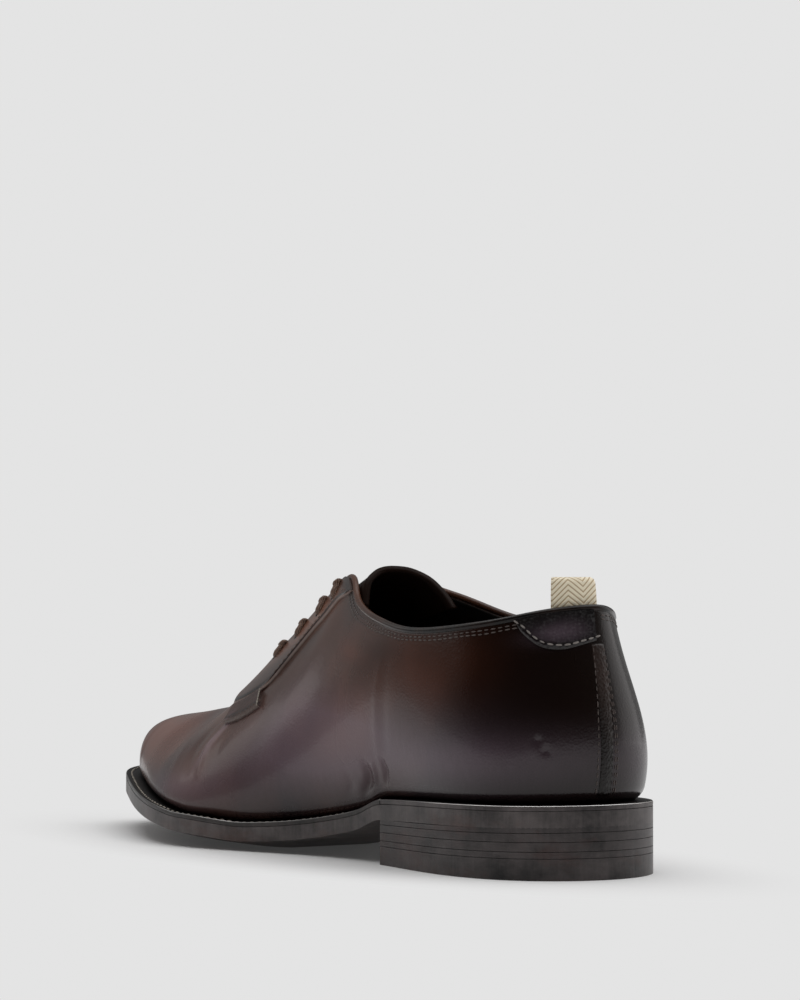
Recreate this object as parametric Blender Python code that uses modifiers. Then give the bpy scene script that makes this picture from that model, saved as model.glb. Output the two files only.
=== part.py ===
"""Derby shoe for a left foot, standing empty on its sole.

The toe points to -Y, the wearer's left is +X, the floor is z = 0, and the origin is under
the middle of the shoe. Shapes are worked out in shoe coordinates, in metres: along is the
distance forward from the back of the heel, across is to the wearer's left of the heel's
middle line, and up is the height over the floor. Blender 4.5.
"""
import math

import bmesh
import bpy
import numpy as np
from mathutils import Vector

MM = 0.001

# Driving sizes
SHOE_LENGTH = 302 * MM
BALL_WIDTH = 104 * MM
INSTEP_HEIGHT = 92 * MM
COLLAR_HEIGHT = 81.8 * MM
TOE_BOX_HEIGHT = 42.6 * MM
HEEL_HEIGHT = 22.8 * MM
HEEL_DROP = 1.9 * MM
HEEL_LENGTH = 83.5 * MM
BREAST_HOLLOW = 3 * MM
TOE_SPRING = 15.0 * MM
SOLE_CROWN = 5.6 * MM
OUTSOLE_THICKNESS = 4.5 * MM
WELT_THICKNESS = 1.7 * MM
WELT_WIDTH = 13 * MM
WELT_REVEAL = 6.0 * MM
INSOLE_THICKNESS = 3.0 * MM
UPPER_WALL = 2.0 * MM
FEATHER_TUCK = 1.8 * MM
TUCK_SHARE = 0.06
OVERLAY_THICKNESS = 1.2 * MM
BACK_STRIP_WIDTH = 4.6 * MM
BINDING_RADIUS = 1.15 * MM
TONGUE_THICKNESS = 2.2 * MM
TAPE_WIDTH = 17.5 * MM
TAPE_THICKNESS = 1.2 * MM
TAPE_RISE = 10 * MM
TAPE_LOOP_DEPTH = 4.6 * MM
TAPE_OFFSET = 5.8 * MM
LACE_WIDTH = 3.8 * MM
LACE_THICKNESS = 2.0 * MM
EYELET_HOLE = 4.4 * MM
EYELET_FROM_EDGE = 5.0 * MM
GAP = 0.3 * MM

SIDES = {"lateral": 1.0, "medial": -1.0}

# Outline of the outsole, once round from the heel's back by the lateral side.
# Columns: name, along as a share of the length, across as a share of the ball width.
OUTLINE = (
    ("heel_back", 0.000, 0.000),
    ("heel_back_lateral", 0.040, 0.243),
    ("heel_lateral", 0.125, 0.323),
    ("breast_lateral", 0.265, 0.290),
    ("waist_lateral", 0.400, 0.296),
    ("ball_back_lateral", 0.510, 0.392),
    ("ball_lateral", 0.620, 0.470),
    ("forepart_lateral", 0.740, 0.402),
    ("toe_lateral", 0.860, 0.256),
    ("toe_corner_lateral", 0.955, 0.100),
    ("toe_tip", 1.000, -0.090),
    ("toe_corner_medial", 0.962, -0.290),
    ("toe_medial", 0.870, -0.425),
    ("ball_medial", 0.720, -0.522),
    ("ball_back_medial", 0.590, -0.425),
    ("waist_medial", 0.440, -0.262),
    ("breast_medial", 0.290, -0.258),
    ("heel_medial", 0.125, -0.323),
    ("heel_back_medial", 0.040, -0.243),
)

# Underside of the outsole.
# Columns: name, along as a share of the length, height on the middle line, and how much
# higher each edge lies, as a share of the crown.
UNDERSIDE = (
    ("shank_back", 0.330, 0.430 * HEEL_HEIGHT, 0.05, 0.10),
    ("shank", 0.400, 0.250 * HEEL_HEIGHT, 0.14, 0.40),
    ("waist", 0.470, 0.095 * HEEL_HEIGHT, 0.34, 0.60),
    ("tread_back", 0.530, 0.0, 0.64, 0.70),
    ("tread_front", 0.605, 0.0, 0.92, 0.90),
    ("ball", 0.660, 0.090 * TOE_SPRING, 1.00, 1.00),
    ("forepart", 0.740, 0.310 * TOE_SPRING, 0.84, 0.90),
    ("toe_back", 0.830, 0.575 * TOE_SPRING, 0.58, 0.60),
    ("toe", 0.920, 0.815 * TOE_SPRING, 0.32, 0.32),
    ("tip", 1.000, 1.000 * TOE_SPRING, 0.00, 0.00),
)
TREAD_FLAT = 0.35
ACROSS_SHARES = (-1.0, -0.86, -0.62, -0.35, 0.0, 0.35, 0.62, 0.86, 1.0)

# Layers of the heel from the floor up. Columns: name, top as a share of the stack, material.
HEEL_LAYERS = (
    ("top_piece", 0.415, "heel_rubber"),
    ("heel_lift_1", 0.545, "sole_leather"),
    ("heel_lift_2", 0.730, "sole_leather"),
    ("heel_lift_3", 0.905, "sole_leather"),
    ("heel_base", 1.000, "sole_leather"),
)

# Sections of the upper, from the heel's back to the toe's tip on each side.
# foot: where the section stands on the feather line, as a share of the length
# reveal: ledge of welt left outside it, as a share of the welt's reveal
# belly_out, belly_up: lower handle of the section, as shares of the ball width and its height
# shoulder_out, shoulder_down: upper handle, as shares of the ball width and its height
# lean: slope that the upper handle takes from the ridge in front of the throat
# top_at, top_out, top_up: the section's top, as shares of the length and ball width, and a height
SECTIONS = {
    "lateral": (
        # name, foot, reveal, belly_out, belly_up, shoulder_out, shoulder_down, lean, top_at, top_out, top_up
        ("heel_back", 0.000, 0.70, 0.069, 0.36, 0.034, 0.36, 0.00, 0.029, 0.000, COLLAR_HEIGHT),
        ("heel_round", 0.045, 0.60, 0.060, 0.36, 0.036, 0.36, 0.00, 0.046, 0.128, 0.984 * COLLAR_HEIGHT),
        ("heel_side", 0.125, 0.50, 0.038, 0.36, 0.036, 0.34, 0.00, 0.108, 0.250, 0.936 * COLLAR_HEIGHT),
        ("ankle", 0.225, 0.42, 0.048, 0.34, 0.034, 0.34, 0.00, 0.205, 0.298, 0.910 * COLLAR_HEIGHT),
        ("collar_middle", 0.315, 0.38, 0.072, 0.33, 0.062, 0.34, 0.00, 0.291, 0.267, 0.949 * COLLAR_HEIGHT),
        ("collar_front", 0.400, 0.40, 0.082, 0.33, 0.115, 0.35, 0.00, 0.377, 0.183, 1.015 * COLLAR_HEIGHT),
        ("facing_top", 0.475, 0.55, 0.077, 0.30, 0.144, 0.31, 0.00, 0.447, 0.082, 0.998 * INSTEP_HEIGHT),
        ("lace_high", 0.530, 0.75, 0.053, 0.28, 0.163, 0.30, 0.00, 0.497, 0.048, 0.942 * INSTEP_HEIGHT),
        ("lace_middle", 0.600, 0.95, 0.034, 0.26, 0.173, 0.35, 0.00, 0.563, 0.043, 0.818 * INSTEP_HEIGHT),
        ("lace_low", 0.680, 1.00, 0.029, 0.28, 0.173, 0.38, 0.10, 0.636, 0.038, 0.684 * INSTEP_HEIGHT),
        ("throat_end", 0.760, 1.00, 0.029, 0.36, 0.183, 0.20, 0.30, 0.722, -0.010, 0.533 * INSTEP_HEIGHT),
        ("vamp", 0.830, 0.97, 0.026, 0.40, 0.192, 0.02, 0.20, 0.788, -0.020, 1.052 * TOE_BOX_HEIGHT),
        ("toe_box", 0.900, 0.93, 0.024, 0.44, 0.183, 0.00, 0.12, 0.854, -0.034, 1.000 * TOE_BOX_HEIGHT),
        ("toe_corner", 0.965, 0.92, 0.028, 0.48, 0.221, 0.00, 0.12, 0.854, -0.034, 1.000 * TOE_BOX_HEIGHT),
        ("toe_tip", 1.000, 0.92, 0.030, 0.50, 0.260, 0.00, 0.12, 0.854, -0.034, 1.000 * TOE_BOX_HEIGHT),
    ),
    "medial": (
        ("heel_back", 0.000, 0.70, 0.069, 0.36, 0.034, 0.36, 0.00, 0.029, 0.000, COLLAR_HEIGHT),
        ("heel_round", 0.045, 0.60, 0.060, 0.36, 0.036, 0.36, 0.00, 0.046, 0.106, 0.984 * COLLAR_HEIGHT),
        ("heel_side", 0.125, 0.50, 0.038, 0.36, 0.042, 0.34, 0.00, 0.108, 0.232, 0.940 * COLLAR_HEIGHT),
        ("ankle", 0.225, 0.42, 0.053, 0.34, 0.034, 0.34, 0.00, 0.205, 0.296, 0.920 * COLLAR_HEIGHT),
        ("collar_middle", 0.315, 0.38, 0.086, 0.33, 0.062, 0.34, 0.00, 0.291, 0.262, 0.955 * COLLAR_HEIGHT),
        ("collar_front", 0.400, 0.40, 0.110, 0.33, 0.115, 0.35, 0.00, 0.371, 0.187, 1.048 * COLLAR_HEIGHT),
        ("facing_top", 0.475, 0.55, 0.100, 0.30, 0.144, 0.31, 0.00, 0.447, 0.082, 0.998 * INSTEP_HEIGHT),
        ("lace_high", 0.530, 0.70, 0.067, 0.28, 0.163, 0.30, 0.00, 0.497, 0.048, 0.942 * INSTEP_HEIGHT),
        ("lace_middle", 0.600, 0.90, 0.038, 0.26, 0.173, 0.35, 0.00, 0.563, 0.043, 0.818 * INSTEP_HEIGHT),
        ("lace_low", 0.680, 1.00, 0.029, 0.28, 0.173, 0.38, 0.10, 0.636, 0.038, 0.684 * INSTEP_HEIGHT),
        ("throat_end", 0.760, 1.00, 0.029, 0.36, 0.183, 0.20, 0.30, 0.722, 0.010, 0.533 * INSTEP_HEIGHT),
        ("vamp", 0.830, 0.97, 0.026, 0.40, 0.192, 0.02, 0.20, 0.788, 0.020, 1.052 * TOE_BOX_HEIGHT),
        ("toe_box", 0.900, 0.93, 0.024, 0.44, 0.183, 0.00, 0.12, 0.854, 0.034, 1.000 * TOE_BOX_HEIGHT),
        ("toe_corner", 0.965, 0.92, 0.028, 0.48, 0.221, 0.00, 0.12, 0.854, 0.034, 1.000 * TOE_BOX_HEIGHT),
        ("toe_tip", 1.000, 0.92, 0.030, 0.50, 0.260, 0.00, 0.12, 0.854, 0.034, 1.000 * TOE_BOX_HEIGHT),
    ),
}
SECTION_NAMES = [row[0] for row in SECTIONS["lateral"]]
LAST_SECTION = len(SECTION_NAMES) - 1
THROAT_END = SECTION_NAMES.index("throat_end")
TOE_BOX = SECTION_NAMES.index("toe_box")
FACING_TOP = SECTION_NAMES.index("facing_top")
SECTION_STEPS = 3
HEIGHT_STEPS = 12

# Edges of the overlays, as places on the upper: section number and height share.
FACING_LINE = (
    ("collar_end", 5.46, 1.000),
    ("below_collar", 5.84, 0.932),
    ("high_line", 6.32, 0.894),
    ("upper_line", 6.80, 0.872),
    ("middle_line", 7.25, 0.846),
    ("lower_line", 7.58, 0.785),
    ("above_tack", 7.74, 0.715),
    ("tack", 7.90, 0.678),
    ("patch_back", 8.24, 0.674),
    ("patch_middle", 8.60, 0.688),
    ("patch_front", 8.96, 0.722),
    ("nose", 9.26, 0.810),
    ("nose_top", 9.46, 0.920),
    ("throat_corner", 9.55, 1.000),
)
PATCH_LOWER = (
    ("back", 7.50, 0.548),
    ("middle", 7.95, 0.540),
    ("front", 8.40, 0.548),
)
PATCH_UPPER = (
    ("back", 7.90, 0.669),
    ("middle", 8.28, 0.665),
    ("front", 8.72, 0.684),
)
TAB_LOWER = (
    ("seam_end", 0.04, 0.846),
    ("back", 0.35, 0.828),
    ("low", 0.68, 0.812),
    ("turn", 0.98, 0.826),
    ("front", 1.20, 0.868),
    ("rise", 1.40, 0.936),
    ("collar_end", 1.50, 1.000),
)
BACK_STRIP_TOP = 0.80
BACK_STRIP_FOOT = 0.07
EYELET_SECTIONS = (6.58, 7.28, 7.94, 8.58)
BINDING_END = 6.36

# Tongue: columns from the lateral edge to the medial one.
TONGUE_HEIGHTS = (0.80, 0.865, 0.93, 0.975)
TONGUE_SECTIONS = (9.75, 9.2, 8.6, 8.0, 7.4, 6.9, 6.45)
TONGUE_SINK = 2.2 * MM
LACE_SAG = 2.0 * MM
# Free rim over the collar: along as a share of the length, across of the ball width, up of the instep.
TONGUE_RIM = (
    ("lateral_edge", 0.394, 0.132, 0.900),
    ("lateral_side", 0.402, 0.108, 0.985),
    ("lateral_turn", 0.407, 0.070, 1.022),
    ("lateral_crown", 0.409, 0.030, 1.040),
    ("crown", 0.405, -0.012, 1.044),
    ("medial_crown", 0.398, -0.064, 1.035),
    ("medial_turn", 0.385, -0.112, 1.002),
    ("medial_side", 0.370, -0.140, 0.950),
    ("medial_edge", 0.356, -0.158, 0.890),
)


def periodic_spline(points, count):
    """Points evenly spaced on the smooth closed curve through the given ones."""
    closed = np.vstack([points, points[:1]])
    chords = np.linalg.norm(np.diff(closed, axis=0), axis=1)
    number = len(points)
    matrix = np.zeros((number, number))
    right = np.zeros((number, 2))
    for i in range(number):
        before = chords[i - 1]
        after = chords[i]
        matrix[i, i - 1] += 1 / before
        matrix[i, i] += 2 / before + 2 / after
        matrix[i, (i + 1) % number] += 1 / after
        right[i] = 3 * ((closed[i] - points[i - 1]) / before**2 + (closed[i + 1] - closed[i]) / after**2)
    slopes = np.linalg.solve(matrix, right)
    fine = []
    for i in range(number):
        share = np.linspace(0, 1, 60, endpoint=False)[:, None]
        start, end = closed[i], closed[i + 1]
        start_slope = slopes[i] * chords[i]
        end_slope = slopes[(i + 1) % number] * chords[i]
        fine.append(
            start * (2 * share**3 - 3 * share**2 + 1)
            + start_slope * (share**3 - 2 * share**2 + share)
            + end * (3 * share**2 - 2 * share**3)
            + end_slope * (share**3 - share**2)
        )
    fine = np.vstack(fine)
    fine = np.vstack([fine, fine[:1]])
    length = np.r_[0, np.cumsum(np.linalg.norm(np.diff(fine, axis=0), axis=1))]
    even = np.linspace(0, length[-1], count + 1)
    return np.column_stack([np.interp(even, length, fine[:, k]) for k in (0, 1)])


OUTLINE_COUNT = 1440
OUTLINE_SHARES = np.linspace(0, 1, OUTLINE_COUNT + 1)
OUTLINE_POINTS = periodic_spline(
    np.array([(along * SHOE_LENGTH, across * BALL_WIDTH) for name, along, across in OUTLINE]),
    OUTLINE_COUNT,
)
TIP_INDEX = int(OUTLINE_POINTS[:, 0].argmax())


def outline_normals():
    """Unit vectors in plan, pointing out of the outline."""
    ahead = np.roll(OUTLINE_POINTS[:-1], -1, axis=0)
    behind = np.roll(OUTLINE_POINTS[:-1], 1, axis=0)
    tangent = ahead - behind
    tangent /= np.linalg.norm(tangent, axis=1)[:, None]
    normal = np.column_stack([-tangent[:, 1], tangent[:, 0]])
    return np.vstack([normal, normal[:1]])


OUTLINE_NORMALS = outline_normals()
HALF_LENGTH = (OUTLINE_POINTS[:, 0].max() + OUTLINE_POINTS[:, 0].min()) / 2
MIDDLE_ACROSS = (OUTLINE_POINTS[:, 1].max() + OUTLINE_POINTS[:, 1].min()) / 2


def outline_at(share):
    share = np.asarray(share) % 1.0
    return np.stack([np.interp(share, OUTLINE_SHARES, OUTLINE_POINTS[:, k]) for k in (0, 1)], axis=-1)


def outline_normal_at(share):
    share = np.asarray(share) % 1.0
    normal = np.stack([np.interp(share, OUTLINE_SHARES, OUTLINE_NORMALS[:, k]) for k in (0, 1)], axis=-1)
    return normal / np.linalg.norm(normal, axis=-1)[..., None]


def share_on_outline(side, along):
    """How far round the outline a place along one side lies."""
    if side == "lateral":
        return float(np.interp(along, OUTLINE_POINTS[: TIP_INDEX + 1, 0], OUTLINE_SHARES[: TIP_INDEX + 1]))
    return float(np.interp(-along, -OUTLINE_POINTS[TIP_INDEX:, 0], OUTLINE_SHARES[TIP_INDEX:]))


def monotone(at, places, values):
    """A curve through the rows that never overshoots between them."""
    places = np.asarray(places, float)
    values = np.asarray(values, float)
    widths = np.diff(places)
    rises = np.diff(values) / widths
    slopes = np.zeros(len(values))
    for i in range(1, len(values) - 1):
        if rises[i - 1] * rises[i] > 0:
            first = 2 * widths[i] + widths[i - 1]
            second = widths[i] + 2 * widths[i - 1]
            slopes[i] = (first + second) / (first / rises[i - 1] + second / rises[i])
    slopes[0] = rises[0]
    slopes[-1] = rises[-1]
    at = np.clip(at, places[0], places[-1])
    cell = np.clip(np.searchsorted(places, at, side="right") - 1, 0, len(places) - 2)
    width = widths[cell]
    share = (at - places[cell]) / width
    return (
        values[cell] * (2 * share**3 - 3 * share**2 + 1)
        + slopes[cell] * width * (share**3 - 2 * share**2 + share)
        + values[cell + 1] * (3 * share**2 - 2 * share**3)
        + slopes[cell + 1] * width * (share**3 - share**2)
    )


SEAT_STACK = OUTSOLE_THICKNESS + WELT_THICKNESS + GAP
PROFILE_ROWS = [HEEL_LENGTH] + [row[1] * SHOE_LENGTH for row in UNDERSIDE[:-1]]


def heel_seat_level(along):
    """Height of the outsole's underside over the heel, which falls a little towards the breast."""
    return HEEL_HEIGHT - SEAT_STACK - HEEL_DROP * np.asarray(along) / HEEL_LENGTH


def side_halves(along):
    """Across places of the outline's lateral and medial edges at these places along."""
    lateral = np.interp(along, OUTLINE_POINTS[: TIP_INDEX + 1, 0], OUTLINE_POINTS[: TIP_INDEX + 1, 1])
    medial = np.interp(-np.asarray(along), -OUTLINE_POINTS[TIP_INDEX:, 0], OUTLINE_POINTS[TIP_INDEX:, 1])
    return lateral, medial


def underside(along, across):
    """Height of the outsole's underside: heel seat, shank, flat tread, crown and toe spring."""
    along = np.asarray(along, float)
    across = np.asarray(across, float)
    places = [0.0, HEEL_LENGTH / SHOE_LENGTH] + [row[1] for row in UNDERSIDE]
    middle = [heel_seat_level(0.0), heel_seat_level(HEEL_LENGTH)] + [row[2] for row in UNDERSIDE]
    level = monotone(along / SHOE_LENGTH, places, middle)
    lateral, medial = side_halves(along)
    centre = (lateral + medial) / 2
    half = np.maximum((lateral - medial) / 2, MM)
    out = np.clip((across - centre) / half, -1.3, 1.3)
    lift_lateral = monotone(along / SHOE_LENGTH, places, [0.0, 0.0] + [row[3] for row in UNDERSIDE])
    lift_medial = monotone(along / SHOE_LENGTH, places, [0.0, 0.0] + [row[4] for row in UNDERSIDE])
    lift = np.where(out > 0, lift_lateral, lift_medial) * SOLE_CROWN
    bend = np.clip((np.abs(out) - TREAD_FLAT) / (1 - TREAD_FLAT), 0, None)
    return level + lift * bend**1.6


def outsole_top(along, across):
    return underside(along, across) + OUTSOLE_THICKNESS


def welt_top(along, across):
    return outsole_top(along, across) + GAP + WELT_THICKNESS


def world(along, across, up):
    """Shoe coordinates to Blender's."""
    along, across, up = np.broadcast_arrays(along, across, up)
    return np.stack([across - MIDDLE_ACROSS, HALF_LENGTH - along, up], axis=-1)


def through(rows, at):
    """Smooth closed curve through evenly numbered rows."""
    number = len(rows)
    at = np.asarray(at, float) % number
    cell = np.floor(at).astype(int)
    share = (at - cell)[..., None]
    before, start, end, after = (rows[(cell + k) % number] for k in (-1, 0, 1, 2))
    return (
        start
        + share * (end - before) / 2
        + share**2 * (before - 2.5 * start + 2 * end - after / 2)
        + share**3 * (1.5 * start - 1.5 * end + (after - before) / 2)
    )


def section_loop():
    """Both sides' rows as one closed loop: lateral to the toe's tip, then medial back to the heel."""
    rows = [("lateral", row) for row in SECTIONS["lateral"]]
    rows += [("medial", row) for row in SECTIONS["medial"][-2:0:-1]]
    columns = []
    for side, row in rows:
        foot = share_on_outline(side, row[1] * SHOE_LENGTH)
        if row[0] == "toe_tip":
            foot = OUTLINE_SHARES[TIP_INDEX]
        columns.append([foot * len(rows), *row[2:9], row[9] * SIDES[side], row[10]])
    return np.array(columns)


SECTION_LOOP = section_loop()
LOOP_LENGTH = len(SECTION_LOOP)


def loop_place(side, section):
    return section if side == "lateral" else LOOP_LENGTH - section


def top_point(side, section):
    """The upper's edge at the collar and throat, then the ridge, then the toe box's crown."""
    section = np.minimum(section, TOE_BOX)
    own = through(SECTION_LOOP[:, 7:10], loop_place(side, section))
    other_side = "medial" if side == "lateral" else "lateral"
    other = through(SECTION_LOOP[:, 7:10], loop_place(other_side, section))
    on_ridge = (section >= THROAT_END)[..., None]
    top = np.where(on_ridge, (own + other) / 2, own)
    return top * np.array([SHOE_LENGTH, BALL_WIDTH, 1.0])


def upper_surface(side, section, height):
    """The last's surface: section numbers from heel to toe, height from 0 at the feather to 1 at the top."""
    section, height = np.broadcast_arrays(np.asarray(section, float), np.asarray(height, float))
    place = loop_place(side, section)
    drift = through(SECTION_LOOP[:, :1] - np.arange(LOOP_LENGTH)[:, None], place)[..., 0]
    share = (place + drift) / LOOP_LENGTH
    reveal, belly_out, belly_up, shoulder_out, shoulder_down, lean = np.moveaxis(
        through(SECTION_LOOP[:, 1:7], place), -1, 0
    )
    plan = outline_at(share)
    out = outline_normal_at(share)
    foot_plan = plan - out * (reveal * WELT_REVEAL)[..., None]
    foot_up = welt_top(foot_plan[..., 0], foot_plan[..., 1]) + GAP
    foot = np.concatenate([foot_plan, foot_up[..., None]], axis=-1)
    top = top_point(side, section)
    rise = top[..., 2] - foot_up
    belly = foot.copy()
    belly[..., :2] += out * (belly_out * BALL_WIDTH)[..., None]
    belly[..., 0] += 0.25 * (top[..., 0] - foot[..., 0]) * (section < TOE_BOX)
    belly[..., 2] += belly_up * rise
    shoulder = top.copy()
    shoulder[..., :2] += out * (shoulder_out * BALL_WIDTH)[..., None]
    shoulder[..., 2] -= shoulder_down * rise + lean * out[..., 0] * shoulder_out * BALL_WIDTH
    t = height[..., None]
    skin = foot * (1 - t) ** 3 + 3 * belly * (1 - t) ** 2 * t + 3 * shoulder * (1 - t) * t**2 + top * t**3
    tuck = FEATHER_TUCK * np.clip(1 - height / TUCK_SHARE, 0, 1) ** 2
    skin[..., :2] -= out * tuck[..., None]
    return skin


def surface_normal(side, section, height):
    """Unit vector out of the upper, in shoe coordinates."""
    step = 0.01
    section, height = np.broadcast_arrays(np.asarray(section, float), np.asarray(height, float))
    low = np.clip(section - step, 0.0, LAST_SECTION)
    high = np.clip(section + step, 0.0, LAST_SECTION)
    lengthwise = upper_surface(side, high, height) - upper_surface(side, low, height)
    low = np.clip(height - step, 0.0, 1.0)
    high = np.clip(height + step, 0.0, 1.0)
    upward = upper_surface(side, section, high) - upper_surface(side, section, low)
    normal = np.cross(upward, lengthwise) * SIDES[side]
    return normal / np.linalg.norm(normal, axis=-1)[..., None]


def raised(side, section, height, lift):
    """A point over the upper's surface by a distance, in shoe coordinates."""
    return upper_surface(side, section, height) + surface_normal(side, section, height) * lift


def material(name, color, roughness):
    found = bpy.data.materials.get(name)
    if found:
        return found
    made = bpy.data.materials.new(name)
    made.use_nodes = True
    shader = made.node_tree.nodes["Principled BSDF"]
    shader.inputs["Base Color"].default_value = (*color, 1.0)
    shader.inputs["Roughness"].default_value = roughness
    return made


FINISHES = {
    "upper_leather": ((0.045, 0.028, 0.025), 0.25),
    "binding_leather": ((0.035, 0.018, 0.014), 0.35),
    "lining_leather": ((0.02, 0.015, 0.012), 0.6),
    "sole_leather": ((0.03, 0.027, 0.029), 0.45),
    "heel_rubber": ((0.03, 0.029, 0.031), 0.55),
    "lace_cord": ((0.06, 0.03, 0.022), 0.5),
    "loop_tape": ((0.50, 0.42, 0.28), 0.8),
}


def finish(name):
    return material(name, *FINISHES[name])


def new_object(name, mesh_data, finish_name):
    node = bpy.data.objects.new(name, mesh_data)
    PARTS.objects.link(node)
    mesh_data.materials.append(finish(finish_name))
    mesh_data.shade_smooth()
    mesh_data.set_sharp_from_angle(angle=math.radians(35))
    return node


def grid_mesh(name, points, closed=False, flip=False):
    """An open skin over a grid of points; rows that meet in a point are welded."""
    mesh_data = bpy.data.meshes.new(name)
    shape = bmesh.new()
    rows, columns = points.shape[:2]
    corners = [[shape.verts.new(Vector(points[i, j])) for j in range(columns)] for i in range(rows)]
    for i in range(rows if closed else rows - 1):
        for j in range(columns - 1):
            after = (i + 1) % rows
            face = [corners[i][j], corners[after][j], corners[after][j + 1], corners[i][j + 1]]
            shape.faces.new(face[::-1] if flip else face)
    bmesh.ops.remove_doubles(shape, verts=shape.verts, dist=0.00002)
    bmesh.ops.dissolve_degenerate(shape, edges=shape.edges, dist=0.00001)
    shape.to_mesh(mesh_data)
    shape.free()
    return mesh_data


def solidify(node, thickness, offset):
    """Gives a skin its wall: offset 1 grows out of it, -1 into it."""
    wall = node.modifiers.new("wall", "SOLIDIFY")
    wall.thickness = thickness
    wall.offset = offset
    wall.use_even_offset = True
    wall.use_quality_normals = True
    wall.thickness_clamp = 0.0


def plate(name, along, across, low, high, finish_name, closed=False):
    """A plate between two levels over a grid of plan points, with upright sides."""
    mesh_data = bpy.data.meshes.new(name)
    shape = bmesh.new()
    rows, columns = along.shape
    under = world(along, across, low(along, across))
    corners = [[shape.verts.new(Vector(under[i, j])) for j in range(columns)] for i in range(rows)]
    for i in range(rows if closed else rows - 1):
        for j in range(columns - 1):
            after = (i + 1) % rows
            shape.faces.new([corners[i][j], corners[i][j + 1], corners[after][j + 1], corners[after][j]])
    bmesh.ops.remove_doubles(shape, verts=shape.verts, dist=0.00002)
    lifted = bmesh.ops.extrude_face_region(shape, geom=shape.faces[:], use_keep_orig=True)
    for vertex in [item for item in lifted["geom"] if isinstance(item, bmesh.types.BMVert)]:
        place_along = HALF_LENGTH - vertex.co.y
        place_across = vertex.co.x + MIDDLE_ACROSS
        vertex.co.z = float(high(place_along, place_across))
    bmesh.ops.recalc_face_normals(shape, faces=shape.faces)
    if shape.calc_volume(signed=True) < 0:
        bmesh.ops.reverse_faces(shape, faces=shape.faces)
    shape.to_mesh(mesh_data)
    shape.free()
    return new_object(name, mesh_data, finish_name)


def rows_along(start, end, count, keep):
    """Places along, close together near a round end, with the kept ones among them."""
    turn = np.linspace(0, math.pi, count + 1)
    places = start + (end - start) * (1 - np.cos(turn)) / 2
    spacing = 0.3 * (end - start) / count
    places = [place for place in places if min((abs(place - k) for k in keep), default=1) > spacing]
    return np.array(sorted(places + list(keep)))


def inset_outline(inset):
    """The outline moved in by a distance: along and across of its lateral and medial sides."""
    moved = OUTLINE_POINTS - OUTLINE_NORMALS * np.asarray(inset)[..., None]
    tip = int(moved[:, 0].argmax())
    return moved[: tip + 1], moved[tip:]


def plan_grid(along, lateral, medial, across_shares=ACROSS_SHARES):
    """Grid of plan points: a row for each place along, and the shares across."""
    lateral_across = np.interp(along, lateral[:, 0], lateral[:, 1])
    medial_across = np.interp(-along, -medial[:, 0], medial[:, 1])
    centre = (lateral_across + medial_across) / 2
    half = (lateral_across - medial_across) / 2
    shares = np.array(across_shares)
    return np.repeat(along[:, None], len(shares), axis=1), centre[:, None] + half[:, None] * shares


def make_outsole():
    lateral, medial = inset_outline(0.0)
    along = rows_along(0.0, OUTLINE_POINTS[:, 0].max(), 34, PROFILE_ROWS)
    along, across = plan_grid(along, lateral, medial)
    plate("outsole", along, across, underside, outsole_top, "sole_leather")


def make_heel():
    """Lifts of leather on a rubber top piece; the breast is cut slightly hollow."""
    lateral, medial = inset_outline(0.0)
    turn = np.linspace(0, math.pi / 2, 12)
    along = HEEL_LENGTH * (1 - np.cos(turn))
    heel_shares = ACROSS_SHARES[::2]
    along, across = plan_grid(along, lateral, medial, heel_shares)
    share = np.abs(np.array(heel_shares))
    hollow = BREAST_HOLLOW * (1 - share**2)
    along = along - hollow * (along / HEEL_LENGTH) ** 4
    floor_share = 0.0
    for name, top_share, finish_name in HEEL_LAYERS:
        low_gap = GAP if floor_share else 0.0

        def low(a, c, share=floor_share, gap=low_gap):
            return (heel_seat_level(a) - GAP) * share + gap

        def high(a, c, share=top_share):
            return (heel_seat_level(a) - GAP) * share

        plate(name, along, across, low, high, finish_name)
        floor_share = top_share


def strip_grid(start, end, count, width):
    """Grid of plan points on a band inside the outline, from one share of it to another."""
    share = np.linspace(start, end, count + 1)
    edge = outline_at(share)
    inward = -outline_normal_at(share)
    steps = np.array([0.0, 0.5, 1.0]) * width
    grid = edge[:, None, :] + inward[:, None, :] * steps[:, None]
    return grid[..., 0], grid[..., 1]


def make_welt():
    """Welt from breast to breast round the forepart, and the rand that closes it round the heel."""
    breast = HEEL_LENGTH + GAP / 2
    first = share_on_outline("lateral", breast + GAP / 2)
    last = share_on_outline("medial", breast + GAP / 2)
    along, across = strip_grid(first, last, 76, WELT_WIDTH)
    low = lambda a, c: outsole_top(a, c) + GAP
    plate("welt", along, across, low, welt_top, "sole_leather")
    first = share_on_outline("lateral", breast - GAP / 2)
    last = share_on_outline("medial", breast - GAP / 2) - 1.0
    along, across = strip_grid(last, first, 26, WELT_WIDTH)
    plate("heel_rand", along, across, low, welt_top, "sole_leather")


def make_insole():
    """Insole inside the foot of the upper, resting on the welt."""
    sections = np.linspace(0, LAST_SECTION, LAST_SECTION * SECTION_STEPS * 2 + 1)
    inner = {}
    for side in SIDES:
        foot = raised(side, sections, 0.0, -(UPPER_WALL + 3 * GAP))
        inner[side] = foot[:, :2]
    along = rows_along(inner["lateral"][0, 0], inner["lateral"][-1, 0], 26, PROFILE_ROWS)
    grid = plan_grid(along, inner["lateral"], inner["medial"][::-1], ACROSS_SHARES[::2])
    low = lambda a, c: welt_top(a, c) + 2 * GAP
    high = lambda a, c: welt_top(a, c) + 2 * GAP + INSOLE_THICKNESS
    plate("insole", *grid, low, high, "lining_leather")


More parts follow.
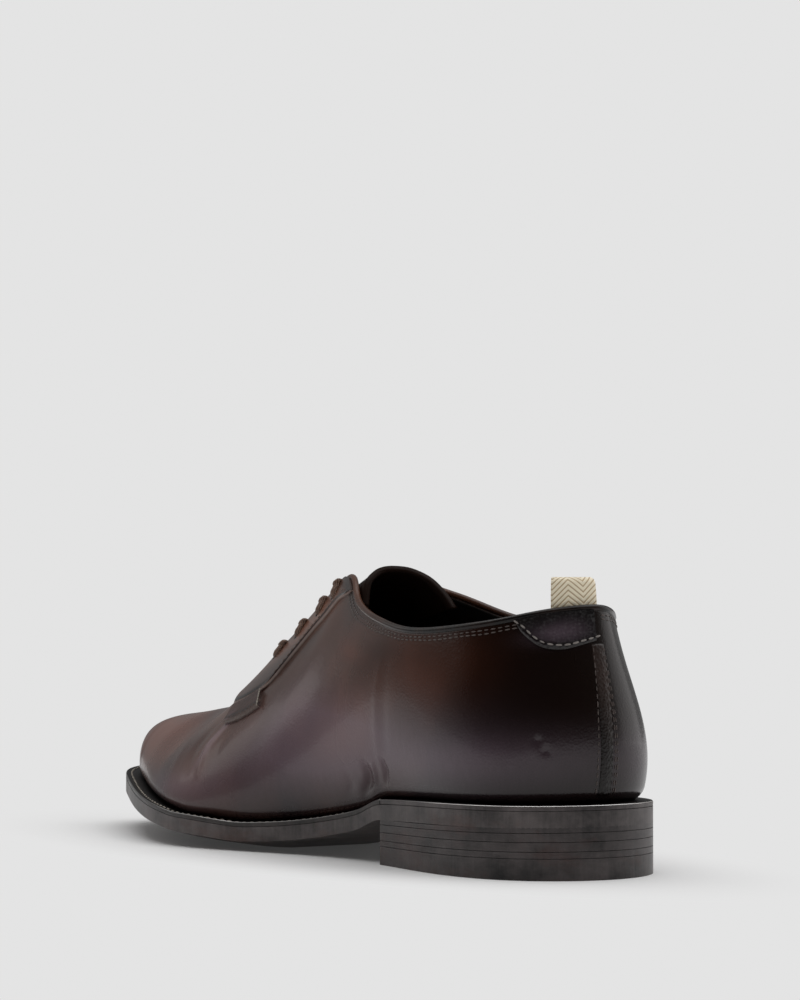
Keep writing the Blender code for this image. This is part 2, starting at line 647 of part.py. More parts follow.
def make_upper():
    """Vamp and quarters as one skin with its wall inwards, open at collar, throat and underneath."""
    stations = np.linspace(0, LAST_SECTION, LAST_SECTION * SECTION_STEPS + 1)
    heights = np.r_[0, TUCK_SHARE / 2, np.linspace(TUCK_SHARE, 1, HEIGHT_STEPS)]
    mesh_data = bpy.data.meshes.new("upper")
    shape = bmesh.new()
    for side in SIDES:
        points = upper_surface(side, stations[:, None], heights[None, :])
        points = world(points[..., 0], points[..., 1], points[..., 2])
        half = grid_mesh("half", points, flip=side == "lateral")
        shape.from_mesh(half)
        bpy.data.meshes.remove(half)
    bmesh.ops.remove_doubles(shape, verts=shape.verts, dist=0.00005)
    bmesh.ops.dissolve_degenerate(shape, edges=shape.edges, dist=0.00001)
    shape.to_mesh(mesh_data)
    shape.free()
    node = new_object("upper", mesh_data, "upper_leather")
    solidify(node, UPPER_WALL, -1)
    return node


def open_curve(points, count):
    """Evenly numbered points on a smooth open curve through the given ones."""
    points = np.asarray(points, float)
    rows = np.concatenate([[2 * points[0] - points[1]], points, [2 * points[-1] - points[-2]]])
    at = np.linspace(0, len(points) - 1, count)
    cell = np.minimum(np.floor(at).astype(int), len(points) - 2)
    share = (at - cell).reshape((-1,) + (1,) * (points.ndim - 1))
    before, start, end, after = (rows[cell + k] for k in (0, 1, 2, 3))
    return (
        start
        + share * (end - before) / 2
        + share**2 * (before - 2.5 * start + 2 * end - after / 2)
        + share**3 * (1.5 * start - 1.5 * end + (after - before) / 2)
    )


def overlay(name, side, lower, upper, thickness, finish_name, long_steps=18, wide_steps=4):
    """A sheet lying on the upper between two edges, each given by section numbers and heights."""
    low = open_curve([row[1:] for row in lower], long_steps + 1)
    high = open_curve([row[1:] for row in upper], long_steps + 1)
    share = np.linspace(0, 1, wide_steps + 1)[None, :, None]
    place = low[:, None] * (1 - share) + high[:, None] * share
    skin = raised(side, place[..., 0], np.minimum(place[..., 1], 1.0), GAP)
    points = world(skin[..., 0], skin[..., 1], skin[..., 2])
    flip = (side == "lateral") != (lower[-1][1] < lower[0][1])
    node = new_object(name, grid_mesh(name, points, flip=flip), finish_name)
    solidify(node, thickness, 1)
    return node


def height_below_edge(side, section, distance):
    """Height share of the place this far down the upper from its top edge."""
    heights = np.linspace(1, 0.5, 101)
    line = upper_surface(side, section, heights)
    length = np.r_[0, np.cumsum(np.linalg.norm(np.diff(line, axis=0), axis=1))]
    return float(np.interp(distance, length, heights))


def make_overlays():
    """Facings with their stitched patches, the heel tab and the raised back seam."""
    edge_start = FACING_LINE[0][1]
    edge_end = FACING_LINE[-1][1]
    steps = len(FACING_LINE) - 1
    throat_edge = [("edge", edge_start + (edge_end - edge_start) * k / steps, 1.0) for k in range(steps + 1)]
    facings = {}
    for side in SIDES:
        facings[side] = overlay(
            "facing_" + side, side, FACING_LINE, throat_edge, OVERLAY_THICKNESS, "upper_leather", 20, 4
        )
        overlay("throat_patch_" + side, side, PATCH_LOWER, PATCH_UPPER, OVERLAY_THICKNESS, "upper_leather", 6, 2)
    tab_steps = len(TAB_LOWER) - 1
    tab_start = TAB_LOWER[0][1]
    tab_end = TAB_LOWER[-1][1]
    tab_edge = [("edge", tab_start + (tab_end - tab_start) * k / tab_steps, 1.0) for k in range(tab_steps + 1)]
    overlay("heel_tab", "lateral", TAB_LOWER, tab_edge, 0.8 * OVERLAY_THICKNESS, "upper_leather", 12, 3)
    return facings


def make_back_strip():
    """Raised seam down the middle of the heel's back, from under the tab to the rand."""
    heights = np.linspace(BACK_STRIP_FOOT, BACK_STRIP_TOP, 12)
    rows = []
    for height in heights:
        row = []
        for side, share in (("medial", 1.0), ("medial", 0.5), ("lateral", 0.0), ("lateral", 0.5), ("lateral", 1.0)):
            round_back = np.linalg.norm(
                upper_surface(side, 0.25, height)[:2] - upper_surface(side, 0.0, height)[:2]
            )
            section = 0.25 * share * BACK_STRIP_WIDTH / 2 / round_back
            row.append(raised(side, section, height, GAP))
        rows.append(row)
    rows = np.array(rows)
    points = world(rows[..., 0], rows[..., 1], rows[..., 2])
    node = new_object("back_strip", grid_mesh("back_strip", points), "upper_leather")
    solidify(node, 0.7 * OVERLAY_THICKNESS, 1)


def tube(name, points, radius, finish_name, sides):
    """A round cord or bead along a path, with closed ends."""
    curve = bpy.data.curves.new(name, "CURVE")
    curve.dimensions = "3D"
    curve.bevel_depth = radius
    curve.bevel_resolution = (sides - 4) // 2
    curve.use_fill_caps = True
    spline = curve.splines.new("POLY")
    spline.points.add(len(points) - 1)
    for point, place in zip(spline.points, points):
        point.co = (*place, 1.0)
    curve.materials.append(finish(finish_name))
    node = bpy.data.objects.new(name, curve)
    PARTS.objects.link(node)
    return node


def make_binding():
    """Corded bead on the collar's edge, from one facing's corner round the heel to the other."""
    path = []
    stations = np.arange(0, BINDING_END, 1 / SECTION_STEPS)
    sections = np.r_[BINDING_END, stations[::-1]]
    for side, run in (("lateral", sections), ("medial", sections[::-1][1:])):
        edge = upper_surface(side, run, 1.0)
        below = upper_surface(side, run, 0.98)
        upward = edge - below
        upward /= np.linalg.norm(upward, axis=1)[:, None]
        inward = -surface_normal(side, run, 1.0)
        centre = edge + upward * (BINDING_RADIUS + 1.5 * GAP) + inward * UPPER_WALL * 0.3
        path.append(centre)
    path = np.vstack(path)
    tube("topline_binding", world(path[:, 0], path[:, 1], path[:, 2]), BINDING_RADIUS, "binding_leather", 6)


def make_tongue():
    """Tongue folded like a roof under the facings, its free end arched over the collar."""
    face = UPPER_WALL + 3 * GAP
    rows = []
    for section in TONGUE_SECTIONS:
        lateral = [raised("lateral", section, height, -face) for height in TONGUE_HEIGHTS]
        medial = [raised("medial", section, height, -face) for height in TONGUE_HEIGHTS]
        crown = (raised("lateral", section, 1.0, -face) + raised("medial", section, 1.0, -face)) / 2
        crown[2] -= TONGUE_SINK
        rows.append(lateral + [crown] + medial[::-1])
    scale = np.array([SHOE_LENGTH, BALL_WIDTH, INSTEP_HEIGHT])
    rows.append([np.array(row[1:]) * scale for row in TONGUE_RIM])
    rows = np.array(rows)
    fine = open_curve(rows, 2 * len(rows) + 1)
    points = world(fine[..., 0], fine[..., 1], fine[..., 2])
    node = new_object("tongue", grid_mesh("tongue", points, flip=False), "binding_leather")
    solidify(node, TONGUE_THICKNESS, -1)


def make_pull_loop():
    """Woven tape doubled into a loop, both legs held against the lining at the heel's back."""
    columns = []
    edges = np.linspace(TAPE_OFFSET - TAPE_WIDTH / 2, TAPE_OFFSET + TAPE_WIDTH / 2, 7)
    sections = np.linspace(0, 2, 81)
    for across in edges:
        side = "lateral" if across >= 0 else "medial"
        top = upper_surface(side, sections, 1.0)
        section = float(np.interp(abs(across), np.abs(top[:, 1]), sections))
        collar = raised(side, section, 1.0, -(UPPER_WALL + 1.5 * GAP))
        inward = -surface_normal(side, section, 1.0)
        inward[2] = 0.0
        inward /= np.linalg.norm(inward)
        column = [raised(side, section, height, -(UPPER_WALL + 1.5 * GAP)) for height in (0.84, 0.92, 1.0)]
        up = np.array([0.0, 0.0, 1.0])
        radius = TAPE_LOOP_DEPTH / 2
        turn_level = COLLAR_HEIGHT + TAPE_RISE - radius - collar[2]
        column.append(collar + up * turn_level * 0.5 + inward * radius * 0.15)
        for angle in np.linspace(0, math.pi, 7):
            centre = collar + up * turn_level + inward * (radius + radius * 0.3)
            column.append(centre - inward * radius * math.cos(angle) + up * radius * math.sin(angle))
        column.append(collar + inward * TAPE_LOOP_DEPTH * 1.1 + up * turn_level * 0.3)
        column.append(collar + inward * TAPE_LOOP_DEPTH * 0.95 - up * TAPE_RISE * 0.5)
        column.append(collar + inward * TAPE_LOOP_DEPTH * 0.85 - up * TAPE_RISE * 1.1)
        columns.append(column)
    columns = np.array(columns)
    points = world(columns[..., 0], columns[..., 1], columns[..., 2])
    node = new_object("pull_loop", grid_mesh("pull_loop", points, flip=True), "loop_tape")
    solidify(node, TAPE_THICKNESS, -1)


def eyelet_place(side, section, lift):
    """Centre line of an eyelet hole at a distance over the upper."""
    return raised(side, section, height_below_edge(side, section, EYELET_FROM_EDGE), lift)


def flat_cord(name, route, wide, width, thickness, finish_name):
    """A flat cord along a route: an oval swept with its long side held to one direction."""
    ahead = np.gradient(route, axis=0)
    ahead /= np.linalg.norm(ahead, axis=1)[:, None]
    side = wide - ahead * (ahead @ wide)[:, None]
    side /= np.linalg.norm(side, axis=1)[:, None]
    face = np.cross(ahead, side)
    turn = np.linspace(0, 2 * math.pi, 8, endpoint=False)
    rings = (
        route[:, None]
        + side[:, None] * (np.cos(turn) * width / 2)[:, None]
        + face[:, None] * (np.sin(turn) * thickness / 2)[:, None]
    )
    places = world(rings[..., 0], rings[..., 1], rings[..., 2])
    mesh_data = bpy.data.meshes.new(name)
    shape = bmesh.new()
    corners = [[shape.verts.new(Vector(place)) for place in ring] for ring in places]
    for ring, after in zip(corners[:-1], corners[1:]):
        for k in range(len(turn)):
            follow = (k + 1) % len(turn)
            shape.faces.new([ring[k], ring[follow], after[follow], after[k]])
    shape.faces.new(corners[0][::-1])
    shape.faces.new(corners[-1])
    bmesh.ops.recalc_face_normals(shape, faces=shape.faces)
    shape.to_mesh(mesh_data)
    shape.free()
    return new_object(name, mesh_data, finish_name)


def make_lace_bars():
    """Flat bars of lace over the throat, their ends dipping into the eyelet holes."""
    half = LACE_THICKNESS / 2
    bend = 1.8 * half
    over = GAP + OVERLAY_THICKNESS + GAP + half
    for number, section in enumerate(EYELET_SECTIONS, start=1):
        ends = {}
        for side in SIDES:
            hole = eyelet_place(side, section, 0.0)
            normal = eyelet_place(side, section, MM) - hole
            normal /= np.linalg.norm(normal)
            edge = raised(side, section, 1.0, 0.0)
            to_edge = edge - hole
            to_edge /= np.linalg.norm(to_edge)
            ends[side] = [hole + normal * 2 * GAP]
            for angle in np.linspace(0, math.pi / 2, 4):
                rise = normal * (over - bend + bend * math.sin(angle))
                ends[side].append(hole + rise + to_edge * bend * (1 - math.cos(angle)))
            ends[side].append(hole * 0.5 + edge * 0.5 + normal * over)
            ends[side].append(edge + normal * over)
            ends[side].append(edge + normal * over * 0.85 + to_edge * half * 1.4)
        crown = (ends["lateral"][-1] + ends["medial"][-1]) / 2 - np.array([0, 0, LACE_SAG])
        route = np.array(ends["lateral"] + [crown] + ends["medial"][::-1])
        ridge = upper_surface("lateral", section + 0.1, 1.0) - upper_surface("lateral", section - 0.1, 1.0)
        ridge[1] = 0.0
        flat_cord("lace_bar_%d" % number, route, ridge, LACE_WIDTH, LACE_THICKNESS, "lace_cord")


def punch_eyelets(nodes):
    """Holes for the lace through each facing and the upper under it."""
    for side in SIDES:
        for number, section in enumerate(EYELET_SECTIONS, start=1):
            low = eyelet_place(side, section, -2.5 * UPPER_WALL)
            high = eyelet_place(side, section, 2.5 * UPPER_WALL)
            low, high = (Vector(world(*place)) for place in (low, high))
            bpy.ops.mesh.primitive_cylinder_add(
                vertices=10, radius=EYELET_HOLE / 2, depth=(high - low).length, location=(low + high) / 2
            )
            cutter = bpy.context.object
            cutter.name = "eyelet_cutter_%s_%d" % (side, number)
            cutter.rotation_euler = (high - low).to_track_quat("Z", "Y").to_euler()
            cutter.hide_render = True
            cutter.display_type = "WIRE"
            for collection in list(cutter.users_collection):
                collection.objects.unlink(cutter)
            CUTTERS.objects.link(cutter)
            for node in (nodes["upper"], nodes[side]):
                cut = node.modifiers.new("eyelet_%s_%d" % (side, number), "BOOLEAN")
                cut.operation = "DIFFERENCE"
                cut.solver = "EXACT"
                cut.object = cutter


for old in list(bpy.data.objects):
    bpy.data.objects.remove(old, do_unlink=True)
PARTS = bpy.data.collections.new("derby_shoe")
CUTTERS = bpy.data.collections.new("cutters")
bpy.context.scene.collection.children.link(PARTS)
bpy.context.scene.collection.children.link(CUTTERS)

make_outsole()
make_heel()
make_welt()
make_insole()
upper = make_upper()
facings = make_overlays()
make_back_strip()
make_binding()
make_tongue()
make_pull_loop()
make_lace_bars()
punch_eyelets({"upper": upper, **facings})
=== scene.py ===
import math

import bmesh
import bpy
import numpy as np
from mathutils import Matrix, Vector

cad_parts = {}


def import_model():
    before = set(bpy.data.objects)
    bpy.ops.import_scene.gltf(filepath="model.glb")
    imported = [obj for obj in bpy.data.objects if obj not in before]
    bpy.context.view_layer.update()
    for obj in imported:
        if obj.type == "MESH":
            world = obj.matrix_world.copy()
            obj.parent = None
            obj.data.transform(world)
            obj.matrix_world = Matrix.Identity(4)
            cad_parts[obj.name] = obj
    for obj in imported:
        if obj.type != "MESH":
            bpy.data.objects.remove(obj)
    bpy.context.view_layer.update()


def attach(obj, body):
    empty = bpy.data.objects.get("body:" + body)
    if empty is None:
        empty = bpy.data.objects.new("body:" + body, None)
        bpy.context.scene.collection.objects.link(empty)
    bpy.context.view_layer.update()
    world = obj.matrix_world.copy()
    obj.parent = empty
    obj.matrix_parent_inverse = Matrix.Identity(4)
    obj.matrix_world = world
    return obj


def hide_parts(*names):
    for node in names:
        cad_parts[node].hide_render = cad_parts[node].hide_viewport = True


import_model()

MM = 0.001

# Camera and studio.
# A long lens low behind the heel's outer side. The floor is a wide pale sheet that takes the
# shoe's shadow under and close to it, and glows as brightly as the backdrop further out.

CAMERA_PLACE = (0.5863, 0.9319, 0.087)
CAMERA_AHEAD = (-0.545, -0.839)
CAMERA_PITCH = math.radians(1.66)
LENS_LENGTH = 115.2
LENS_SENSOR = 36.0
BACKDROP = (0.775, 0.775, 0.775)
DARK_PART = (0.62, 0.60, 0.50)
DARK_PART_EDGE = (-0.10, 0.45)
ROOM_LIGHT = 0.22
ROOM_DARK = 0.01
FLOOR_REACH = 12.0
FLOOR_COLOR = (0.80, 0.80, 0.80, 1.0)
FLOOR_LIFT = 0.035
# Half sizes of the oval that keeps the shadow, and the shares of it where the glow sets in and is full
SHADOW_OVAL = (0.060, 0.155)
SHADOW_EDGE = (0.80, 1.5)
WHITE = (1.0, 1.0, 1.0, 1.0)

camera_data = bpy.data.cameras.new("photo_camera")
camera_data.lens = LENS_LENGTH
camera_data.sensor_width = LENS_SENSOR
camera_data.clip_start = 0.01
camera_data.clip_end = 50.0
camera = bpy.data.objects.new("photo_camera", camera_data)
bpy.context.scene.collection.objects.link(camera)
camera.location = CAMERA_PLACE
ahead = Vector((*CAMERA_AHEAD, math.tan(CAMERA_PITCH)))
camera.rotation_euler = ahead.to_track_quat("-Z", "Y").to_euler()
bpy.context.scene.camera = camera
bpy.context.scene.view_settings.view_transform = "Standard"

studio = bpy.data.worlds.new("studio")
bpy.context.scene.world = studio
studio.use_nodes = True


def link(tree, start, end):
    tree.links.new(start, end)


def shader_node(tree, kind, **settings):
    made = tree.nodes.new(kind)
    for name, value in settings.items():
        if hasattr(made, name):
            setattr(made, name, value)
        else:
            made.inputs[name.replace("_", " ")].default_value = value
    return made


# The room is bright all round but for its dark part above and behind the lens, which the
# polished heel mirrors; the picture's own backdrop stays even.
tree = studio.node_tree
room = tree.nodes["Background"]
toward = tree.nodes.new("ShaderNodeTexCoord")
dot = shader_node(tree, "ShaderNodeVectorMath", operation="DOT_PRODUCT")
dot.inputs[1].default_value = DARK_PART
link(tree, toward.outputs["Generated"], dot.inputs[0])
shade = shader_node(tree, "ShaderNodeMapRange", interpolation_type="SMOOTHSTEP")
shade.inputs["From Min"].default_value, shade.inputs["From Max"].default_value = DARK_PART_EDGE
shade.inputs["To Min"].default_value = ROOM_LIGHT
shade.inputs["To Max"].default_value = ROOM_DARK
link(tree, dot.outputs["Value"], shade.inputs["Value"])
rays = tree.nodes.new("ShaderNodeLightPath")
seen = shader_node(tree, "ShaderNodeMix", data_type="FLOAT")
seen.inputs["B"].default_value = BACKDROP[0]
link(tree, rays.outputs["Is Camera Ray"], seen.inputs["Factor"])
link(tree, shade.outputs["Result"], seen.inputs["A"])
room.inputs["Color"].default_value = WHITE
link(tree, seen.outputs["Result"], room.inputs["Strength"])

floor_mesh = bpy.data.meshes.new("studio_floor")
floor_corners = [(FLOOR_REACH * x, FLOOR_REACH * y, 0) for x, y in ((-1, -1), (1, -1), (1, 1), (-1, 1))]
floor_mesh.from_pydata(floor_corners, [], [(0, 1, 2, 3)])
floor = bpy.data.objects.new("studio_floor", floor_mesh)
bpy.context.scene.collection.objects.link(floor)
floor_look = bpy.data.materials.new("studio_floor")
floor_look.use_nodes = True
tree = floor_look.node_tree
paper = tree.nodes["Principled BSDF"]
paper.inputs["Base Color"].default_value = FLOOR_COLOR
paper.inputs["Roughness"].default_value = 0.9
paper.inputs["Specular IOR Level"].default_value = 0.1
paper.inputs["Emission Color"].default_value = WHITE
paper.inputs["Emission Strength"].default_value = FLOOR_LIFT
glow = shader_node(tree, "ShaderNodeEmission", Color=(*BACKDROP, 1.0), Strength=1.0)
place = shader_node(tree, "ShaderNodeTexCoord")
spread = tree.nodes.new("ShaderNodeMapping")
spread.inputs["Scale"].default_value = (1 / SHADOW_OVAL[0], 1 / SHADOW_OVAL[1], 1.0)
link(tree, place.outputs["Object"], spread.inputs["Vector"])
distance = shader_node(tree, "ShaderNodeVectorMath", operation="LENGTH")
link(tree, spread.outputs["Vector"], distance.inputs[0])
far = shader_node(tree, "ShaderNodeMapRange", interpolation_type="SMOOTHSTEP")
far.inputs["From Min"].default_value, far.inputs["From Max"].default_value = SHADOW_EDGE
link(tree, distance.outputs["Value"], far.inputs["Value"])
mix = shader_node(tree, "ShaderNodeMixShader")
link(tree, far.outputs["Result"], mix.inputs["Fac"])
link(tree, paper.outputs["BSDF"], mix.inputs[1])
link(tree, glow.outputs["Emission"], mix.inputs[2])
link(tree, mix.outputs["Shader"], tree.nodes["Material Output"].inputs["Surface"])
floor_mesh.materials.append(floor_look)

# Soft lights: name, place, aim, size, power in watts, colour
LIGHTS = (
    ("key_from_left", (0.7, -1.0, 1.0), (0.0, -0.05, 0.05), 1.3, 3.5, (1.0, 0.98, 0.96)),
    ("top_soft", (-0.2, 0.1, 1.5), (0.0, 0.0, 0.0), 2.4, 28.5, (1.0, 1.0, 1.0)),
    ("right_soft", (-1.5, 0.35, 0.45), (0.0, 0.1, 0.05), 1.3, 4.0, (1.0, 0.97, 0.97)),
)
for name, spot, aim, size, power, color in LIGHTS:
    lamp_data = bpy.data.lights.new(name, "AREA")
    lamp_data.shape = "SQUARE"
    lamp_data.size = size
    lamp_data.energy = power
    lamp_data.color = color
    lamp = bpy.data.objects.new(name, lamp_data)
    bpy.context.scene.collection.objects.link(lamp)
    lamp.location = spot
    lamp.rotation_euler = (Vector(aim) - Vector(spot)).to_track_quat("-Z", "Y").to_euler()

# Sole outline, profile and last.
# The sizes of the sole's edge, its side profile and the last the upper was pulled over, as in
# the CAD model: the sole, the welt, the upper and everything sewn to it follow from these.
SHOE_LENGTH = 302 * MM
BALL_WIDTH = 104 * MM
INSTEP_HEIGHT = 92 * MM
COLLAR_HEIGHT = 81.8 * MM
TOE_BOX_HEIGHT = 42.6 * MM
HEEL_HEIGHT = 22.8 * MM
HEEL_DROP = 1.9 * MM
HEEL_LENGTH = 83.5 * MM
TOE_SPRING = 15.0 * MM
SOLE_CROWN = 5.6 * MM
OUTSOLE_THICKNESS = 4.5 * MM
WELT_THICKNESS = 1.7 * MM
WELT_REVEAL = 6.0 * MM
FEATHER_TUCK = 1.8 * MM
TUCK_SHARE = 0.06
GAP = 0.3 * MM

SIDES = {"lateral": 1.0, "medial": -1.0}

# Outline of the outsole, once round from the heel's back by the lateral side.
# Columns: name, along as a share of the length, across as a share of the ball width.
OUTLINE = (
    ("heel_back", 0.000, 0.000),
    ("heel_back_lateral", 0.040, 0.243),
    ("heel_lateral", 0.125, 0.323),
    ("breast_lateral", 0.265, 0.290),
    ("waist_lateral", 0.400, 0.296),
    ("ball_back_lateral", 0.510, 0.392),
    ("ball_lateral", 0.620, 0.470),
    ("forepart_lateral", 0.740, 0.402),
    ("toe_lateral", 0.860, 0.256),
    ("toe_corner_lateral", 0.955, 0.100),
    ("toe_tip", 1.000, -0.090),
    ("toe_corner_medial", 0.962, -0.290),
    ("toe_medial", 0.870, -0.425),
    ("ball_medial", 0.720, -0.522),
    ("ball_back_medial", 0.590, -0.425),
    ("waist_medial", 0.440, -0.262),
    ("breast_medial", 0.290, -0.258),
    ("heel_medial", 0.125, -0.323),
    ("heel_back_medial", 0.040, -0.243),
)

# Underside of the outsole.
# Columns: name, along as a share of the length, height on the middle line, and how much
# higher each edge lies, as a share of the crown.
UNDERSIDE = (
    ("shank_back", 0.330, 0.430 * HEEL_HEIGHT, 0.05, 0.10),
    ("shank", 0.400, 0.250 * HEEL_HEIGHT, 0.14, 0.40),
    ("waist", 0.470, 0.095 * HEEL_HEIGHT, 0.34, 0.60),
    ("tread_back", 0.530, 0.0, 0.64, 0.70),
    ("tread_front", 0.605, 0.0, 0.92, 0.90),
    ("ball", 0.660, 0.090 * TOE_SPRING, 1.00, 1.00),
    ("forepart", 0.740, 0.310 * TOE_SPRING, 0.84, 0.90),
    ("toe_back", 0.830, 0.575 * TOE_SPRING, 0.58, 0.60),
    ("toe", 0.920, 0.815 * TOE_SPRING, 0.32, 0.32),
    ("tip", 1.000, 1.000 * TOE_SPRING, 0.00, 0.00),
)
TREAD_FLAT = 0.35

# Sections of the upper, from the heel's back to the toe's tip on each side.
# foot: where the section stands on the feather line, as a share of the length
# reveal: ledge of welt left outside it, as a share of the welt's reveal
# belly_out, belly_up: lower handle of the section, as shares of the ball width and its height
# shoulder_out, shoulder_down: upper handle, as shares of the ball width and its height
# lean: slope that the upper handle takes from the ridge in front of the throat
# top_at, top_out, top_up: the section's top, as shares of the length and ball width, and a height
SECTIONS = {
    "lateral": (
        # name, foot, reveal, belly_out, belly_up, shoulder_out, shoulder_down, lean, top_at, top_out, top_up
        ("heel_back", 0.000, 0.70, 0.069, 0.36, 0.034, 0.36, 0.00, 0.029, 0.000, COLLAR_HEIGHT),
        ("heel_round", 0.045, 0.60, 0.060, 0.36, 0.036, 0.36, 0.00, 0.046, 0.128, 0.984 * COLLAR_HEIGHT),
        ("heel_side", 0.125, 0.50, 0.038, 0.36, 0.036, 0.34, 0.00, 0.108, 0.250, 0.936 * COLLAR_HEIGHT),
        ("ankle", 0.225, 0.42, 0.048, 0.34, 0.034, 0.34, 0.00, 0.205, 0.298, 0.910 * COLLAR_HEIGHT),
        ("collar_middle", 0.315, 0.38, 0.072, 0.33, 0.062, 0.34, 0.00, 0.291, 0.267, 0.949 * COLLAR_HEIGHT),
        ("collar_front", 0.400, 0.40, 0.082, 0.33, 0.115, 0.35, 0.00, 0.377, 0.183, 1.015 * COLLAR_HEIGHT),
        ("facing_top", 0.475, 0.55, 0.077, 0.30, 0.144, 0.31, 0.00, 0.447, 0.082, 0.998 * INSTEP_HEIGHT),
        ("lace_high", 0.530, 0.75, 0.053, 0.28, 0.163, 0.30, 0.00, 0.497, 0.048, 0.942 * INSTEP_HEIGHT),
        ("lace_middle", 0.600, 0.95, 0.034, 0.26, 0.173, 0.35, 0.00, 0.563, 0.043, 0.818 * INSTEP_HEIGHT),
        ("lace_low", 0.680, 1.00, 0.029, 0.28, 0.173, 0.38, 0.10, 0.636, 0.038, 0.684 * INSTEP_HEIGHT),
        ("throat_end", 0.760, 1.00, 0.029, 0.36, 0.183, 0.20, 0.30, 0.722, -0.010, 0.533 * INSTEP_HEIGHT),
        ("vamp", 0.830, 0.97, 0.026, 0.40, 0.192, 0.02, 0.20, 0.788, -0.020, 1.052 * TOE_BOX_HEIGHT),
        ("toe_box", 0.900, 0.93, 0.024, 0.44, 0.183, 0.00, 0.12, 0.854, -0.034, 1.000 * TOE_BOX_HEIGHT),
        ("toe_corner", 0.965, 0.92, 0.028, 0.48, 0.221, 0.00, 0.12, 0.854, -0.034, 1.000 * TOE_BOX_HEIGHT),
        ("toe_tip", 1.000, 0.92, 0.030, 0.50, 0.260, 0.00, 0.12, 0.854, -0.034, 1.000 * TOE_BOX_HEIGHT),
    ),
    "medial": (
        ("heel_back", 0.000, 0.70, 0.069, 0.36, 0.034, 0.36, 0.00, 0.029, 0.000, COLLAR_HEIGHT),
        ("heel_round", 0.045, 0.60, 0.060, 0.36, 0.036, 0.36, 0.00, 0.046, 0.106, 0.984 * COLLAR_HEIGHT),
        ("heel_side", 0.125, 0.50, 0.038, 0.36, 0.042, 0.34, 0.00, 0.108, 0.232, 0.940 * COLLAR_HEIGHT),
        ("ankle", 0.225, 0.42, 0.053, 0.34, 0.034, 0.34, 0.00, 0.205, 0.296, 0.920 * COLLAR_HEIGHT),
        ("collar_middle", 0.315, 0.38, 0.086, 0.33, 0.062, 0.34, 0.00, 0.291, 0.262, 0.955 * COLLAR_HEIGHT),
        ("collar_front", 0.400, 0.40, 0.110, 0.33, 0.115, 0.35, 0.00, 0.371, 0.187, 1.048 * COLLAR_HEIGHT),
        ("facing_top", 0.475, 0.55, 0.100, 0.30, 0.144, 0.31, 0.00, 0.447, 0.082, 0.998 * INSTEP_HEIGHT),
        ("lace_high", 0.530, 0.70, 0.067, 0.28, 0.163, 0.30, 0.00, 0.497, 0.048, 0.942 * INSTEP_HEIGHT),
        ("lace_middle", 0.600, 0.90, 0.038, 0.26, 0.173, 0.35, 0.00, 0.563, 0.043, 0.818 * INSTEP_HEIGHT),
        ("lace_low", 0.680, 1.00, 0.029, 0.28, 0.173, 0.38, 0.10, 0.636, 0.038, 0.684 * INSTEP_HEIGHT),
        ("throat_end", 0.760, 1.00, 0.029, 0.36, 0.183, 0.20, 0.30, 0.722, 0.010, 0.533 * INSTEP_HEIGHT),
        ("vamp", 0.830, 0.97, 0.026, 0.40, 0.192, 0.02, 0.20, 0.788, 0.020, 1.052 * TOE_BOX_HEIGHT),
        ("toe_box", 0.900, 0.93, 0.024, 0.44, 0.183, 0.00, 0.12, 0.854, 0.034, 1.000 * TOE_BOX_HEIGHT),
        ("toe_corner", 0.965, 0.92, 0.028, 0.48, 0.221, 0.00, 0.12, 0.854, 0.034, 1.000 * TOE_BOX_HEIGHT),
        ("toe_tip", 1.000, 0.92, 0.030, 0.50, 0.260, 0.00, 0.12, 0.854, 0.034, 1.000 * TOE_BOX_HEIGHT),
    ),
}
SECTION_NAMES = [row[0] for row in SECTIONS["lateral"]]
LAST_SECTION = len(SECTION_NAMES) - 1
THROAT_END = SECTION_NAMES.index("throat_end")
TOE_BOX = SECTION_NAMES.index("toe_box")


def periodic_spline(points, count):
    """Points evenly spaced on the smooth closed curve through the given ones."""
    closed = np.vstack([points, points[:1]])
    chords = np.linalg.norm(np.diff(closed, axis=0), axis=1)
    number = len(points)
    matrix = np.zeros((number, number))
    right = np.zeros((number, 2))
    for i in range(number):
        before = chords[i - 1]
        after = chords[i]
        matrix[i, i - 1] += 1 / before
        matrix[i, i] += 2 / before + 2 / after
        matrix[i, (i + 1) % number] += 1 / after
        right[i] = 3 * ((closed[i] - points[i - 1]) / before**2 + (closed[i + 1] - closed[i]) / after**2)
    slopes = np.linalg.solve(matrix, right)
    fine = []
    for i in range(number):
        share = np.linspace(0, 1, 60, endpoint=False)[:, None]
        start, end = closed[i], closed[i + 1]
        start_slope = slopes[i] * chords[i]
        end_slope = slopes[(i + 1) % number] * chords[i]
        fine.append(
            start * (2 * share**3 - 3 * share**2 + 1)
            + start_slope * (share**3 - 2 * share**2 + share)
            + end * (3 * share**2 - 2 * share**3)
            + end_slope * (share**3 - share**2)
        )
    fine = np.vstack(fine)
    fine = np.vstack([fine, fine[:1]])
    length = np.r_[0, np.cumsum(np.linalg.norm(np.diff(fine, axis=0), axis=1))]
    even = np.linspace(0, length[-1], count + 1)
    return np.column_stack([np.interp(even, length, fine[:, k]) for k in (0, 1)])


OUTLINE_COUNT = 1440
OUTLINE_SHARES = np.linspace(0, 1, OUTLINE_COUNT + 1)
OUTLINE_POINTS = periodic_spline(
    np.array([(along * SHOE_LENGTH, across * BALL_WIDTH) for name, along, across in OUTLINE]),
    OUTLINE_COUNT,
)
TIP_INDEX = int(OUTLINE_POINTS[:, 0].argmax())


